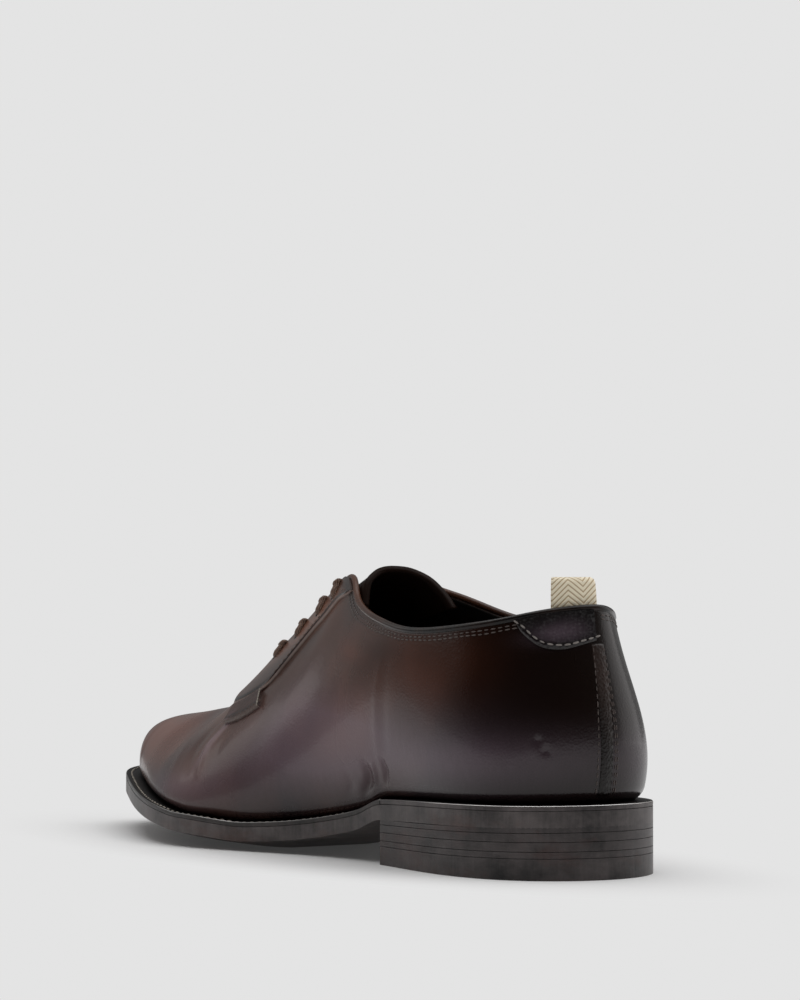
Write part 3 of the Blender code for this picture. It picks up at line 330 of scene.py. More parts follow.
def outline_normals():
    """Unit vectors in plan, pointing out of the outline."""
    ahead = np.roll(OUTLINE_POINTS[:-1], -1, axis=0)
    behind = np.roll(OUTLINE_POINTS[:-1], 1, axis=0)
    tangent = ahead - behind
    tangent /= np.linalg.norm(tangent, axis=1)[:, None]
    normal = np.column_stack([-tangent[:, 1], tangent[:, 0]])
    return np.vstack([normal, normal[:1]])


OUTLINE_NORMALS = outline_normals()
HALF_LENGTH = (OUTLINE_POINTS[:, 0].max() + OUTLINE_POINTS[:, 0].min()) / 2
MIDDLE_ACROSS = (OUTLINE_POINTS[:, 1].max() + OUTLINE_POINTS[:, 1].min()) / 2


def outline_at(share):
    share = np.asarray(share) % 1.0
    return np.stack([np.interp(share, OUTLINE_SHARES, OUTLINE_POINTS[:, k]) for k in (0, 1)], axis=-1)


def outline_normal_at(share):
    share = np.asarray(share) % 1.0
    normal = np.stack([np.interp(share, OUTLINE_SHARES, OUTLINE_NORMALS[:, k]) for k in (0, 1)], axis=-1)
    return normal / np.linalg.norm(normal, axis=-1)[..., None]


def share_on_outline(side, along):
    """How far round the outline a place along one side lies."""
    if side == "lateral":
        return float(np.interp(along, OUTLINE_POINTS[: TIP_INDEX + 1, 0], OUTLINE_SHARES[: TIP_INDEX + 1]))
    return float(np.interp(-along, -OUTLINE_POINTS[TIP_INDEX:, 0], OUTLINE_SHARES[TIP_INDEX:]))


def monotone(at, places, values):
    """A curve through the rows that never overshoots between them."""
    places = np.asarray(places, float)
    values = np.asarray(values, float)
    widths = np.diff(places)
    rises = np.diff(values) / widths
    slopes = np.zeros(len(values))
    for i in range(1, len(values) - 1):
        if rises[i - 1] * rises[i] > 0:
            first = 2 * widths[i] + widths[i - 1]
            second = widths[i] + 2 * widths[i - 1]
            slopes[i] = (first + second) / (first / rises[i - 1] + second / rises[i])
    slopes[0] = rises[0]
    slopes[-1] = rises[-1]
    at = np.clip(at, places[0], places[-1])
    cell = np.clip(np.searchsorted(places, at, side="right") - 1, 0, len(places) - 2)
    width = widths[cell]
    share = (at - places[cell]) / width
    return (
        values[cell] * (2 * share**3 - 3 * share**2 + 1)
        + slopes[cell] * width * (share**3 - 2 * share**2 + share)
        + values[cell + 1] * (3 * share**2 - 2 * share**3)
        + slopes[cell + 1] * width * (share**3 - share**2)
    )


SEAT_STACK = OUTSOLE_THICKNESS + WELT_THICKNESS + GAP


def heel_seat_level(along):
    """Height of the outsole's underside over the heel, which falls a little towards the breast."""
    return HEEL_HEIGHT - SEAT_STACK - HEEL_DROP * np.asarray(along) / HEEL_LENGTH


def side_halves(along):
    """Across places of the outline's lateral and medial edges at these places along."""
    lateral = np.interp(along, OUTLINE_POINTS[: TIP_INDEX + 1, 0], OUTLINE_POINTS[: TIP_INDEX + 1, 1])
    medial = np.interp(-np.asarray(along), -OUTLINE_POINTS[TIP_INDEX:, 0], OUTLINE_POINTS[TIP_INDEX:, 1])
    return lateral, medial


def underside(along, across):
    """Height of the outsole's underside: heel seat, shank, flat tread, crown and toe spring."""
    along = np.asarray(along, float)
    across = np.asarray(across, float)
    places = [0.0, HEEL_LENGTH / SHOE_LENGTH] + [row[1] for row in UNDERSIDE]
    middle = [heel_seat_level(0.0), heel_seat_level(HEEL_LENGTH)] + [row[2] for row in UNDERSIDE]
    level = monotone(along / SHOE_LENGTH, places, middle)
    lateral, medial = side_halves(along)
    centre = (lateral + medial) / 2
    half = np.maximum((lateral - medial) / 2, MM)
    out = np.clip((across - centre) / half, -1.3, 1.3)
    lift_lateral = monotone(along / SHOE_LENGTH, places, [0.0, 0.0] + [row[3] for row in UNDERSIDE])
    lift_medial = monotone(along / SHOE_LENGTH, places, [0.0, 0.0] + [row[4] for row in UNDERSIDE])
    lift = np.where(out > 0, lift_lateral, lift_medial) * SOLE_CROWN
    bend = np.clip((np.abs(out) - TREAD_FLAT) / (1 - TREAD_FLAT), 0, None)
    return level + lift * bend**1.6


def outsole_top(along, across):
    return underside(along, across) + OUTSOLE_THICKNESS


def welt_top(along, across):
    return outsole_top(along, across) + GAP + WELT_THICKNESS


def world(along, across, up):
    """Shoe coordinates to Blender's."""
    along, across, up = np.broadcast_arrays(along, across, up)
    return np.stack([across - MIDDLE_ACROSS, HALF_LENGTH - along, up], axis=-1)


def world_points(points):
    """Points in shoe coordinates to Blender's."""
    return world(*np.moveaxis(points, -1, 0))


def through(rows, at):
    """Smooth closed curve through evenly numbered rows."""
    number = len(rows)
    at = np.asarray(at, float) % number
    cell = np.floor(at).astype(int)
    share = (at - cell)[..., None]
    before, start, end, after = (rows[(cell + k) % number] for k in (-1, 0, 1, 2))
    return (
        start
        + share * (end - before) / 2
        + share**2 * (before - 2.5 * start + 2 * end - after / 2)
        + share**3 * (1.5 * start - 1.5 * end + (after - before) / 2)
    )


def section_loop():
    """Both sides' rows as one closed loop: lateral to the toe's tip, then medial back to the heel."""
    rows = [("lateral", row) for row in SECTIONS["lateral"]]
    rows += [("medial", row) for row in SECTIONS["medial"][-2:0:-1]]
    columns = []
    for side, row in rows:
        foot = share_on_outline(side, row[1] * SHOE_LENGTH)
        if row[0] == "toe_tip":
            foot = OUTLINE_SHARES[TIP_INDEX]
        columns.append([foot * len(rows), *row[2:9], row[9] * SIDES[side], row[10]])
    return np.array(columns)


SECTION_LOOP = section_loop()
LOOP_LENGTH = len(SECTION_LOOP)


def loop_place(side, section):
    return section if side == "lateral" else LOOP_LENGTH - section


def top_point(side, section):
    """The upper's edge at the collar and throat, then the ridge, then the toe box's crown."""
    section = np.minimum(section, TOE_BOX)
    own = through(SECTION_LOOP[:, 7:10], loop_place(side, section))
    other_side = "medial" if side == "lateral" else "lateral"
    other = through(SECTION_LOOP[:, 7:10], loop_place(other_side, section))
    on_ridge = (section >= THROAT_END)[..., None]
    top = np.where(on_ridge, (own + other) / 2, own)
    return top * np.array([SHOE_LENGTH, BALL_WIDTH, 1.0])


def upper_surface(side, section, height):
    """The last's surface: section numbers from heel to toe, height from 0 at the feather to 1 at the top."""
    section, height = np.broadcast_arrays(np.asarray(section, float), np.asarray(height, float))
    place = loop_place(side, section)
    drift = through(SECTION_LOOP[:, :1] - np.arange(LOOP_LENGTH)[:, None], place)[..., 0]
    share = (place + drift) / LOOP_LENGTH
    reveal, belly_out, belly_up, shoulder_out, shoulder_down, lean = np.moveaxis(
        through(SECTION_LOOP[:, 1:7], place), -1, 0
    )
    plan = outline_at(share)
    out = outline_normal_at(share)
    foot_plan = plan - out * (reveal * WELT_REVEAL)[..., None]
    foot_up = welt_top(foot_plan[..., 0], foot_plan[..., 1]) + GAP
    foot = np.concatenate([foot_plan, foot_up[..., None]], axis=-1)
    top = top_point(side, section)
    rise = top[..., 2] - foot_up
    belly = foot.copy()
    belly[..., :2] += out * (belly_out * BALL_WIDTH)[..., None]
    belly[..., 0] += 0.25 * (top[..., 0] - foot[..., 0]) * (section < TOE_BOX)
    belly[..., 2] += belly_up * rise
    shoulder = top.copy()
    shoulder[..., :2] += out * (shoulder_out * BALL_WIDTH)[..., None]
    shoulder[..., 2] -= shoulder_down * rise + lean * out[..., 0] * shoulder_out * BALL_WIDTH
    t = height[..., None]
    wall = foot * (1 - t) ** 3 + 3 * belly * (1 - t) ** 2 * t + 3 * shoulder * (1 - t) * t**2 + top * t**3
    tuck = FEATHER_TUCK * np.clip(1 - height / TUCK_SHARE, 0, 1) ** 2
    wall[..., :2] -= out * tuck[..., None]
    return wall


def surface_normal(side, section, height):
    """Unit vector out of the upper, in shoe coordinates."""
    step = 0.01
    section, height = np.broadcast_arrays(np.asarray(section, float), np.asarray(height, float))
    low = np.clip(section - step, 0.0, LAST_SECTION)
    high = np.clip(section + step, 0.0, LAST_SECTION)
    lengthwise = upper_surface(side, high, height) - upper_surface(side, low, height)
    low = np.clip(height - step, 0.0, 1.0)
    high = np.clip(height + step, 0.0, 1.0)
    upward = upper_surface(side, section, high) - upper_surface(side, section, low)
    normal = np.cross(upward, lengthwise) * SIDES[side]
    size = np.linalg.norm(normal, axis=-1)[..., None]
    return np.divide(normal, size, out=np.zeros_like(normal), where=size > 0)


def raised(side, section, height, lift):
    """A point over the upper's surface by a distance, in shoe coordinates."""
    return upper_surface(side, section, height) + surface_normal(side, section, height) * lift


# Upper.
# Vamp and quarters of full-grain calf, burnished by hand and polished, pulled over the last and
# lined with dark leather. Wear has bent it over the toes and wrinkled it at the waist, and left
# small dents in the heel's stiffener.

UPPER_WALL = 2.0 * MM
# Creases: side, height, half width, then places along the crease as section and height
CREASES = (
    ("lateral", 0.62 * MM, 1.6 * MM, ((8.36, 0.56), (8.45, 0.49), (8.49, 0.44), (8.36, 0.36), (8.20, 0.26))),
    ("lateral", -0.55 * MM, 3.4 * MM, ((8.90, 0.54), (8.92, 0.46), (8.80, 0.38), (8.60, 0.28))),
    ("lateral", -0.25 * MM, 3.4 * MM, ((8.06, 0.52), (8.06, 0.42), (7.96, 0.32))),
    ("lateral", 0.25 * MM, 3.0 * MM, ((9.90, 0.62), (9.55, 0.50), (9.30, 0.36), (9.10, 0.22))),
    ("lateral", -1.40 * MM, 1.6 * MM, ((3.92, 0.22), (3.86, 0.16), (3.90, 0.11), (4.02, 0.07))),
    ("lateral", 0.60 * MM, 1.1 * MM, ((3.74, 0.20), (3.70, 0.15), (3.72, 0.10))),
    ("lateral", -1.00 * MM, 1.1 * MM, ((3.50, 0.22), (3.44, 0.16), (3.48, 0.10))),
    ("lateral", -0.30 * MM, 2.2 * MM, ((4.34, 0.20), (4.26, 0.14), (4.34, 0.09))),
    ("lateral", 0.16 * MM, 1.8 * MM, ((3.68, 0.80), (3.66, 0.60), (3.62, 0.40), (3.58, 0.24))),
    ("lateral", -0.16 * MM, 2.6 * MM, ((3.50, 0.80), (3.46, 0.60), (3.42, 0.40), (3.40, 0.26))),
    ("lateral", -0.32 * MM, 1.2 * MM, ((0.84, 0.335), (0.79, 0.318))),
    ("lateral", -0.30 * MM, 1.3 * MM, ((0.74, 0.280), (0.69, 0.262))),
    ("medial", 0.60 * MM, 2.2 * MM, ((8.50, 0.58), (8.30, 0.46), (8.14, 0.34), (8.00, 0.22))),
    ("medial", -0.50 * MM, 3.0 * MM, ((8.86, 0.56), (8.64, 0.44), (8.44, 0.32), (8.30, 0.20))),
    ("medial", -0.40 * MM, 3.2 * MM, ((8.16, 0.52), (7.98, 0.40), (7.86, 0.28))),
    ("medial", -0.35 * MM, 1.8 * MM, ((4.20, 0.24), (4.14, 0.16), (4.22, 0.10))),
)
# Rows of points up the wall, finer over the creases: from section, to section, number of steps
WALL_RUNS = (
    (0.0, 0.5, 8),
    (0.5, 1.1, 24),
    (1.1, 3.2, 24),
    (3.2, 4.4, 44),
    (4.4, 7.8, 46),
    (7.8, 10.0, 60),
    (10.0, 14.0, 56),
)
WALL_ROWS = 84
# Patches of the polish's colour and of painted light: side, section, height, half length, half height,
# tone, painted sheen, warmth. Tone runs from black at the heel to brown, and some rows use it to paint
# highlights and shade; the painted sheen is a lilac painted reflection of the pale floor; warmth is a
# reddish tint.
POLISH_AND_SHEEN_PATCHES = (
    ("both", 0.0, 0.60, 2.0, 0.90, -0.60, 0.00, 0.00),
    ("both", 2.7, 0.74, 0.75, 0.26, 0.05, 0.00, 0.80),
    ("both", 3.7, 0.70, 0.60, 0.28, 0.40, 0.00, 0.25),
    ("both", 5.4, 0.46, 1.6, 0.24, 0.60, 0.25, 0.10),
    ("both", 5.8, 0.78, 1.1, 0.20, 0.40, 0.00, 0.25),
    ("both", 4.9, 0.36, 1.3, 0.12, 0.10, 0.50, 0.00),
    ("both", 4.0, 0.95, 1.1, 0.08, -0.35, 0.00, 0.35),
    ("both", 4.6, 0.80, 0.7, 0.05, -0.25, 0.00, 0.45),
    ("both", 6.0, 0.84, 0.9, 0.05, -0.15, 0.00, 0.30),
    ("both", 7.4, 0.92, 1.5, 0.10, 1.00, 0.00, 0.05),
    ("both", 8.6, 0.50, 1.3, 0.45, 0.30, 0.00, 0.20),
    ("both", 8.7, 0.15, 1.3, 0.11, 0.10, 0.80, 0.00),
    ("both", 11.3, 0.55, 1.9, 0.60, 0.70, 0.35, 0.00),
    ("both", 2.2, 0.22, 1.9, 0.14, 0.10, 0.80, 0.00),
    ("both", 5.0, 0.36, 2.2, 0.20, 0.10, 1.20, 0.00),
    ("both", 7.4, 0.22, 1.3, 0.12, 0.05, 0.25, 0.00),
    ("both", 3.0, 0.975, 3.2, 0.022, -0.50, 0.00, 0.00),
    ("both", 4.6, 0.86, 1.0, 0.10, -0.22, 0.00, 0.25),
    ("both", 13.3, 0.45, 0.9, 0.30, 0.10, 0.50, 0.00),
    ("both", 9.4, 0.28, 0.5, 0.22, -0.30, 0.00, 0.10),
    # Painted highlight: a painted sheen on the heel tab.
    ("lateral", 0.75, 0.90, 0.45, 0.05, 0.10, 0.80, 0.00),
    # Painted highlight along the lateral vamp crease, in tone and painted sheen, over the next three rows.
    ("lateral", 8.36, 0.55, 0.10, 0.05, 0.30, 0.90, 0.00),
    ("lateral", 8.45, 0.47, 0.11, 0.06, 0.30, 0.90, 0.00),
    ("lateral", 8.40, 0.37, 0.12, 0.07, 0.20, 0.70, 0.00),
    ("lateral", 9.10, 0.45, 0.30, 0.14, -0.30, 0.00, 0.10),
)


def crease_height(side, points):
    """How far the leather stands out at these points, or in, from the creases of its side."""
    height = np.zeros(points.shape[:-1])
    for crease_side, rise, half_width, run in CREASES:
        if crease_side != side:
            continue
        run = np.array(run)
        fine = np.linspace(0, len(run) - 1, 6 * len(run))
        path = upper_surface(side, *(np.interp(fine, np.arange(len(run)), run[:, k]) for k in (0, 1)))
        reach = 3 * half_width
        low = path.min(axis=0) - reach
        high = path.max(axis=0) + reach
        near = np.all((points > low) & (points < high), axis=-1)
        gaps = np.linalg.norm(points[near][:, None, :] - path, axis=-1)
        nearest = gaps.argmin(axis=-1)
        ends = np.sin(np.pi * (nearest + 1) / (len(fine) + 1)) ** 0.5
        height[near] += rise * ends * np.exp(-((gaps.min(axis=-1) / half_width) ** 2))
    return height


def skin(side, section, height, lift=0.0):
    """A point of the worn leather, or a distance over it, in shoe coordinates."""
    base = upper_surface(side, section, height)
    out = crease_height(side, base) + lift
    return base + surface_normal(side, section, height) * out[..., None]


def grid_mesh(name, grids, numbers=()):
    """An open skin over grids of world points, welded where they meet, with a UV in metres.

    Each grid comes as (points, flip), and numbers as (name, one array for each grid).
    """
    points = []
    quads = []
    spread = []
    start = 0
    for grid, flip in grids:
        rows, columns = grid.shape[:2]
        index = start + np.arange(rows * columns).reshape(rows, columns)
        face = np.stack([index[:-1, :-1], index[1:, :-1], index[1:, 1:], index[:-1, 1:]], axis=-1)
        face = face.reshape(-1, 4)
        quads.append(face[:, ::-1] if flip else face)
        points.append(grid.reshape(-1, 3))
        along = np.linalg.norm(np.diff(grid[:, columns // 2], axis=0), axis=1)
        along = np.r_[0, np.cumsum(along)] * (1 if flip else -1)
        up = np.linalg.norm(np.diff(grid, axis=1), axis=2)
        up = np.concatenate([np.zeros((rows, 1)), np.cumsum(up, axis=1)], axis=1)
        spread.append(np.stack([np.repeat(along[:, None], columns, axis=1), up], axis=-1).reshape(-1, 2))
        start += rows * columns
    data = bpy.data.meshes.new(name)
    data.from_pydata(np.concatenate(points).tolist(), [], np.concatenate(quads).tolist())
    corners = np.empty(len(data.loops), dtype=np.int32)
    data.loops.foreach_get("vertex_index", corners)
    data.uv_layers.new(name="metres").data.foreach_set("uv", np.concatenate(spread)[corners].ravel())
    for label, values in numbers:
        layer = data.attributes.new(label, "FLOAT", "POINT")
        layer.data.foreach_set("value", np.concatenate([np.ravel(v) for v in values]))
    shape = bmesh.new()
    shape.from_mesh(data)
    bmesh.ops.remove_doubles(shape, verts=shape.verts, dist=0.00001)
    bmesh.ops.dissolve_degenerate(shape, edges=shape.edges, dist=0.000005)
    shape.to_mesh(data)
    shape.free()
    data.shade_smooth()
    return data


def placed(name, data, *looks):
    piece = bpy.data.objects.new(name, data)
    bpy.context.scene.collection.objects.link(piece)
    for look in looks:
        piece.data.materials.append(look)
    return piece


def walled(piece, thickness, offset, lining=0):
    """Gives a skin its thickness: offset -1 keeps the skin as the outer face, 1 as the inner one."""
    wall = piece.modifiers.new("wall", "SOLIDIFY")
    wall.thickness = thickness
    wall.offset = offset
    wall.use_even_offset = True
    wall.use_quality_normals = True
    wall.thickness_clamp = 0.0
    wall.material_offset = lining
    return piece


def settled(piece):
    """The modifiers' result becomes the piece's own mesh."""
    bpy.context.view_layer.update()
    graph = bpy.context.evaluated_depsgraph_get()
    final = piece.evaluated_get(graph)
    data = bpy.data.meshes.new_from_object(final, preserve_all_data_layers=True, depsgraph=graph)
    old = piece.data
    name = piece.name
    if piece.type == "MESH":
        piece.modifiers.clear()
        piece.data = data
        data.name = name
        return piece
    bpy.data.objects.remove(piece)
    bpy.data.curves.remove(old)
    return placed(name, data)


def rides(piece, slot, *replaced):
    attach(piece, "root")
    if replaced:
        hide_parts(*replaced)
    return piece


def polish_and_sheen_at(side, section, height):
    """Tone, painted sheen and warmth at these places, from the patches; the sheen is a painted reflection.
    """
    values = np.zeros((3,) + np.shape(section))
    for patch_side, at, level, half_length, half_height, *amounts in POLISH_AND_SHEEN_PATCHES:
        if patch_side not in ("both", side):
            continue
        weight = np.exp(-((section - at) / half_length) ** 2 - ((height - level) / half_height) ** 2)
        for value, amount in zip(values, amounts):
            value += weight * amount
    return values


def ramp(tree, value, stops):
    """A colour ramp over a value: stops as (place, colour)."""
    made = tree.nodes.new("ShaderNodeValToRGB")
    elements = made.color_ramp.elements
    for element, (at, color) in zip((elements[0], elements[-1]), (stops[0], stops[-1])):
        element.position = at
        element.color = (*color, 1.0)
    for at, color in stops[1:-1]:
        elements.new(at).color = (*color, 1.0)
    link(tree, value, made.inputs["Fac"])
    return made.outputs["Color"]


def noise(tree, vector, scale, detail=3.0, roughness=0.5, stretch=(1.0, 1.0, 1.0)):
    """Noise over a vector, stretched along its axes."""
    spread = tree.nodes.new("ShaderNodeMapping")
    spread.inputs["Scale"].default_value = stretch
    link(tree, vector, spread.inputs["Vector"])
    made = tree.nodes.new("ShaderNodeTexNoise")
    made.inputs["Scale"].default_value = scale
    made.inputs["Detail"].default_value = detail
    made.inputs["Roughness"].default_value = roughness
    link(tree, spread.outputs["Vector"], made.inputs["Vector"])
    return made.outputs["Fac"]


def feed(tree, socket, value):
    """A socket's own plain value or colour, or a link to it."""
    if isinstance(value, tuple):
        socket.default_value = (*value, 1.0)
    elif isinstance(value, (int, float)):
        socket.default_value = value
    else:
        link(tree, value, socket)


def math_node(tree, operation, first, second=0.0):
    made = shader_node(tree, "ShaderNodeMath", operation=operation)
    for socket, value in zip(made.inputs, (first, second)):
        feed(tree, socket, value)
    return made.outputs["Value"]


def mixed(tree, factor, first, second):
    """Mixes two colours by a factor; each may be a socket or a plain value."""
    made = shader_node(tree, "ShaderNodeMix", data_type="RGBA")
    for label, value in (("Factor", factor), ("A", first), ("B", second)):
        feed(tree, made.inputs[label], value)
    return made.outputs["Result"]


def bumped(tree, height, strength, distance, normal=None):
    made = tree.nodes.new("ShaderNodeBump")
    made.inputs["Strength"].default_value = strength
    made.inputs["Distance"].default_value = distance
    link(tree, height, made.inputs["Height"])
    if normal is not None:
        link(tree, normal, made.inputs["Normal"])
    return made.outputs["Normal"]


def new_look(name, roughness, specular=0.5, coat=0.0, coat_roughness=0.1):
    look = bpy.data.materials.new(name)
    look.use_nodes = True
    shader = look.node_tree.nodes["Principled BSDF"]
    shader.inputs["Roughness"].default_value = roughness
    shader.inputs["Specular IOR Level"].default_value = specular
    shader.inputs["Coat Weight"].default_value = coat
    shader.inputs["Coat Roughness"].default_value = coat_roughness
    return look, look.node_tree, shader


def plain_look(name, color, roughness, specular):
    """A finish of one colour."""
    look, _, shader = new_look(name, roughness, specular)
    shader.inputs["Base Color"].default_value = (*color, 1.0)
    return look


def painted(tree, label):
    """A number painted on the piece's points, such as the polish's tone."""
    made = shader_node(tree, "ShaderNodeAttribute", attribute_name=label)
    return made.outputs["Fac"]


WARM_TAN = (0.105, 0.030, 0.014)
LILAC_PAINTED_SHEEN = (0.170, 0.120, 0.152)
GROOVE_SHADE_PAINT = (0.004, 0.002, 0.002)
PORE_DEPTH = 0.3 * MM
HIDE_WAVE = 1.6 * MM


def calf(name, dark, brown, painted_rim_color, grain, pore_scale, roughness, coat):
    """Burnished calf: tone from dark to brown, painted sheen as a lilac painted reflection, warmth, brushed
    streaks.
    """
    look, tree, shader = new_look(name, roughness, 0.30, coat, 0.10)
    place = tree.nodes.new("ShaderNodeTexCoord").outputs["Object"]
    cloud = noise(tree, place, 26.0, 2.0, 0.45, (1.0, 1.0, 0.8))
    streaks = noise(tree, place, 60.0, 3.0, 0.5, (1.0, 1.8, 0.40))
    speckle = noise(tree, place, 420.0, 3.0, 0.6, (1.0, 1.4, 0.5))
    cloudy = math_node(tree, "MULTIPLY", math_node(tree, "SUBTRACT", cloud, 0.5), 1.5)
    brushed = math_node(tree, "MULTIPLY", math_node(tree, "SUBTRACT", streaks, 0.5), 0.10)
    tone = math_node(tree, "ADD", painted(tree, "tone"), math_node(tree, "ADD", cloudy, brushed))
    middle = tuple(0.45 * a + 0.30 * b for a, b in zip(dark, brown))
    color = ramp(tree, tone, ((0.0, dark), (0.45, middle), (1.0, brown)))
    warm = math_node(tree, "MULTIPLY", painted(tree, "warmth"), math_node(tree, "MULTIPLY", cloud, 1.6))
    warm.node.use_clamp = True
    color = mixed(tree, warm, color, WARM_TAN)
    # Painted reflection: a lilac veil standing for the pale floor mirrored in the leather, laid in by the
    # painted sheen.
    painted_sheen = painted(tree, "painted_sheen")
    sheen_amount = math_node(tree, "MULTIPLY", math_node(tree, "MULTIPLY", speckle, 0.3), painted_sheen)
    sheen_amount = math_node(tree, "ADD", sheen_amount, math_node(tree, "MULTIPLY", painted_sheen, 0.75))
    sheen_amount.node.use_clamp = True
    color = mixed(tree, math_node(tree, "MULTIPLY", sheen_amount, 0.6), color, LILAC_PAINTED_SHEEN)
    # Painted highlight: a light line along the layers' cut edges where the rim number is above zero, and
    # painted shade for a groove beside it where it is below.
    rim = painted(tree, "rim")
    color = mixed(tree, math_node(tree, "MAXIMUM", rim, 0.0), color, painted_rim_color)
    groove_shade = math_node(tree, "MAXIMUM", math_node(tree, "MULTIPLY", rim, -1.0), 0.0)
    color = mixed(tree, groove_shade, color, GROOVE_SHADE_PAINT)
    link(tree, color, shader.inputs["Base Color"])
    dull = math_node(tree, "MULTIPLY", cloud, 0.20)
    link(tree, math_node(tree, "ADD", dull, roughness - 0.10), shader.inputs["Roughness"])
    pores = shader_node(tree, "ShaderNodeTexVoronoi", Scale=pore_scale)
    link(tree, place, pores.inputs["Vector"])
    normal = bumped(tree, pores.outputs["Distance"], grain, PORE_DEPTH)
    normal = bumped(tree, noise(tree, place, 45.0, 2.0, 0.5), 0.12, HIDE_WAVE, normal)
    link(tree, normal, shader.inputs["Normal"])
    return look


CALF = calf(
    "burnished_calf",
    dark=(0.0060, 0.0024, 0.0014), brown=(0.205, 0.088, 0.056), painted_rim_color=(0.26, 0.19, 0.165),
    grain=0.12, pore_scale=1300.0, roughness=0.25, coat=0.15,
)
PEBBLED = calf(
    "pebbled_calf",
    dark=(0.0050, 0.0024, 0.0018), brown=(0.120, 0.056, 0.038), painted_rim_color=(0.110, 0.078, 0.066),
    grain=0.7, pore_scale=1100.0, roughness=0.40, coat=0.08,
)
LINING = plain_look("dark_lining", (0.012, 0.009, 0.008), 0.6, 0.3)

stations = np.concatenate([np.linspace(low, high, steps, endpoint=False) for low, high, steps in WALL_RUNS])
stations = np.r_[stations, LAST_SECTION][:, None]
heights = np.r_[0, TUCK_SHARE / 3, TUCK_SHARE * 2 / 3, np.linspace(TUCK_SHARE, 1, WALL_ROWS)][None, :]
section, height = np.broadcast_arrays(stations, heights)
grids = []
polish_and_painted_light = {"tone": [], "painted_sheen": [], "warmth": []}
for side in SIDES:
    place = skin(side, section, height)
    grids.append((world_points(place), side == "lateral"))
    for values, label in zip(polish_and_sheen_at(side, section, height), polish_and_painted_light):
        polish_and_painted_light[label].append(values)
upper = placed("upper_shell", grid_mesh("upper_shell", grids, polish_and_painted_light.items()), CALF, LINING)
walled(upper, UPPER_WALL, -1, 1)

# Eyelets.
# Plain punched holes with no metal, four on each side, through the facings and the quarters
# under them.
EYELET_HOLE = 4.4 * MM
EYELET_FROM_EDGE = 5.0 * MM
EYELET_SECTIONS = (6.58, 7.28, 7.94, 8.58)
PUNCH_REACH = 2.5 * UPPER_WALL


def height_below_edge(side, section, distance):
    """Height share of the place this far down the upper from its top edge."""
    run = np.linspace(1, 0.5, 101)
    line = upper_surface(side, section, run)
    length = np.r_[0, np.cumsum(np.linalg.norm(np.diff(line, axis=0), axis=1))]
    return float(np.interp(distance, length, run))


def eyelet_place(side, section, lift):
    return raised(side, section, height_below_edge(side, section, EYELET_FROM_EDGE), lift)


def punched(piece, punches):
    """Bores the holes of these punches through a piece."""
    for punch in punches:
        hole = piece.modifiers.new("hole", "BOOLEAN")
        hole.operation = "DIFFERENCE"
        hole.solver = "EXACT"
        hole.object = punch
    return settled(piece)


punches = {side: [] for side in SIDES}
for side in SIDES:
    for section in EYELET_SECTIONS:
        low, high = (eyelet_place(side, section, lift) for lift in (-PUNCH_REACH, PUNCH_REACH))
        low, high = Vector(world(*low)), Vector(world(*high))
        bpy.ops.mesh.primitive_cylinder_add(
            vertices=24, radius=EYELET_HOLE / 2, depth=(high - low).length, location=(low + high) / 2
        )
        punch = bpy.context.object
        punch.rotation_euler = (high - low).to_track_quat("Z", "Y").to_euler()
        punch.hide_render = True
        punches[side].append(punch)
punched(upper, punches["lateral"] + punches["medial"])
rides(upper, "upper_leather", "upper")


# Facings, throat patches and heel tab.
# Single layers of the same calf, cut with a knife and sewn flat on the quarters. Along their cut edges a
# thin light line is painted as a highlight, with painted shade for a groove beside it.

OVERLAY_THICKNESS = 1.2 * MM
# Edges of the layers, as places on the upper: section number and height share
FACING_LINE = (
    ("collar_end", 5.46, 1.000),
    ("below_collar", 5.84, 0.932),
    ("high_line", 6.32, 0.894),
    ("upper_line", 6.80, 0.872),
    ("middle_line", 7.25, 0.846),
    ("lower_line", 7.58, 0.785),
    ("above_tack", 7.74, 0.715),
    ("tack", 7.90, 0.678),
    ("patch_back", 8.24, 0.674),
    ("patch_middle", 8.60, 0.688),
    ("patch_front", 8.96, 0.722),
    ("nose", 9.26, 0.810),
    ("nose_top", 9.46, 0.920),
    ("throat_corner", 9.55, 1.000),
)
PATCH_LOWER = (
    ("back", 7.50, 0.548),
    ("middle", 7.95, 0.540),
    ("front", 8.40, 0.548),
)
PATCH_UPPER = (
    ("back", 7.90, 0.669),
    ("middle", 8.28, 0.665),
    ("front", 8.72, 0.684),
)
TAB_LOWER = (
    ("seam_end", 0.04, 0.846),
    ("back", 0.35, 0.828),
    ("low", 0.68, 0.812),
    ("turn", 0.98, 0.826),
    ("front", 1.20, 0.868),
    ("rise", 1.40, 0.936),
    ("collar_end", 1.50, 1.000),
)
TAB_LOOK = calf(
    "tab_calf",
    dark=(0.006, 0.005, 0.005), brown=(0.034, 0.024, 0.021), painted_rim_color=(0.016, 0.013, 0.012),
    grain=0.9, pore_scale=900.0, roughness=0.28, coat=0.20,
)
TAB_THICKNESS = 0.9 * MM
# Thicknesses of the lower edges, which are pared thin
FACING_PARED = 0.55 * MM
PATCH_PARED = 0.7 * MM
TAB_PARED = 0.5 * MM


def open_curve(points, count):
    """Evenly numbered points on a smooth open curve through the given ones."""
    points = np.asarray(points, float)
    rows = np.concatenate([[2 * points[0] - points[1]], points, [2 * points[-1] - points[-2]]])
    at = np.linspace(0, len(points) - 1, count)
    cell = np.minimum(np.floor(at).astype(int), len(points) - 2)
    share = (at - cell).reshape((-1,) + (1,) * (points.ndim - 1))
    before, start, end, after = (rows[cell + k] for k in (0, 1, 2, 3))
    return (
        start
        + share * (end - before) / 2
        + share**2 * (before - 2.5 * start + 2 * end - after / 2)
        + share**3 * (1.5 * start - 1.5 * end + (after - before) / 2)
    )


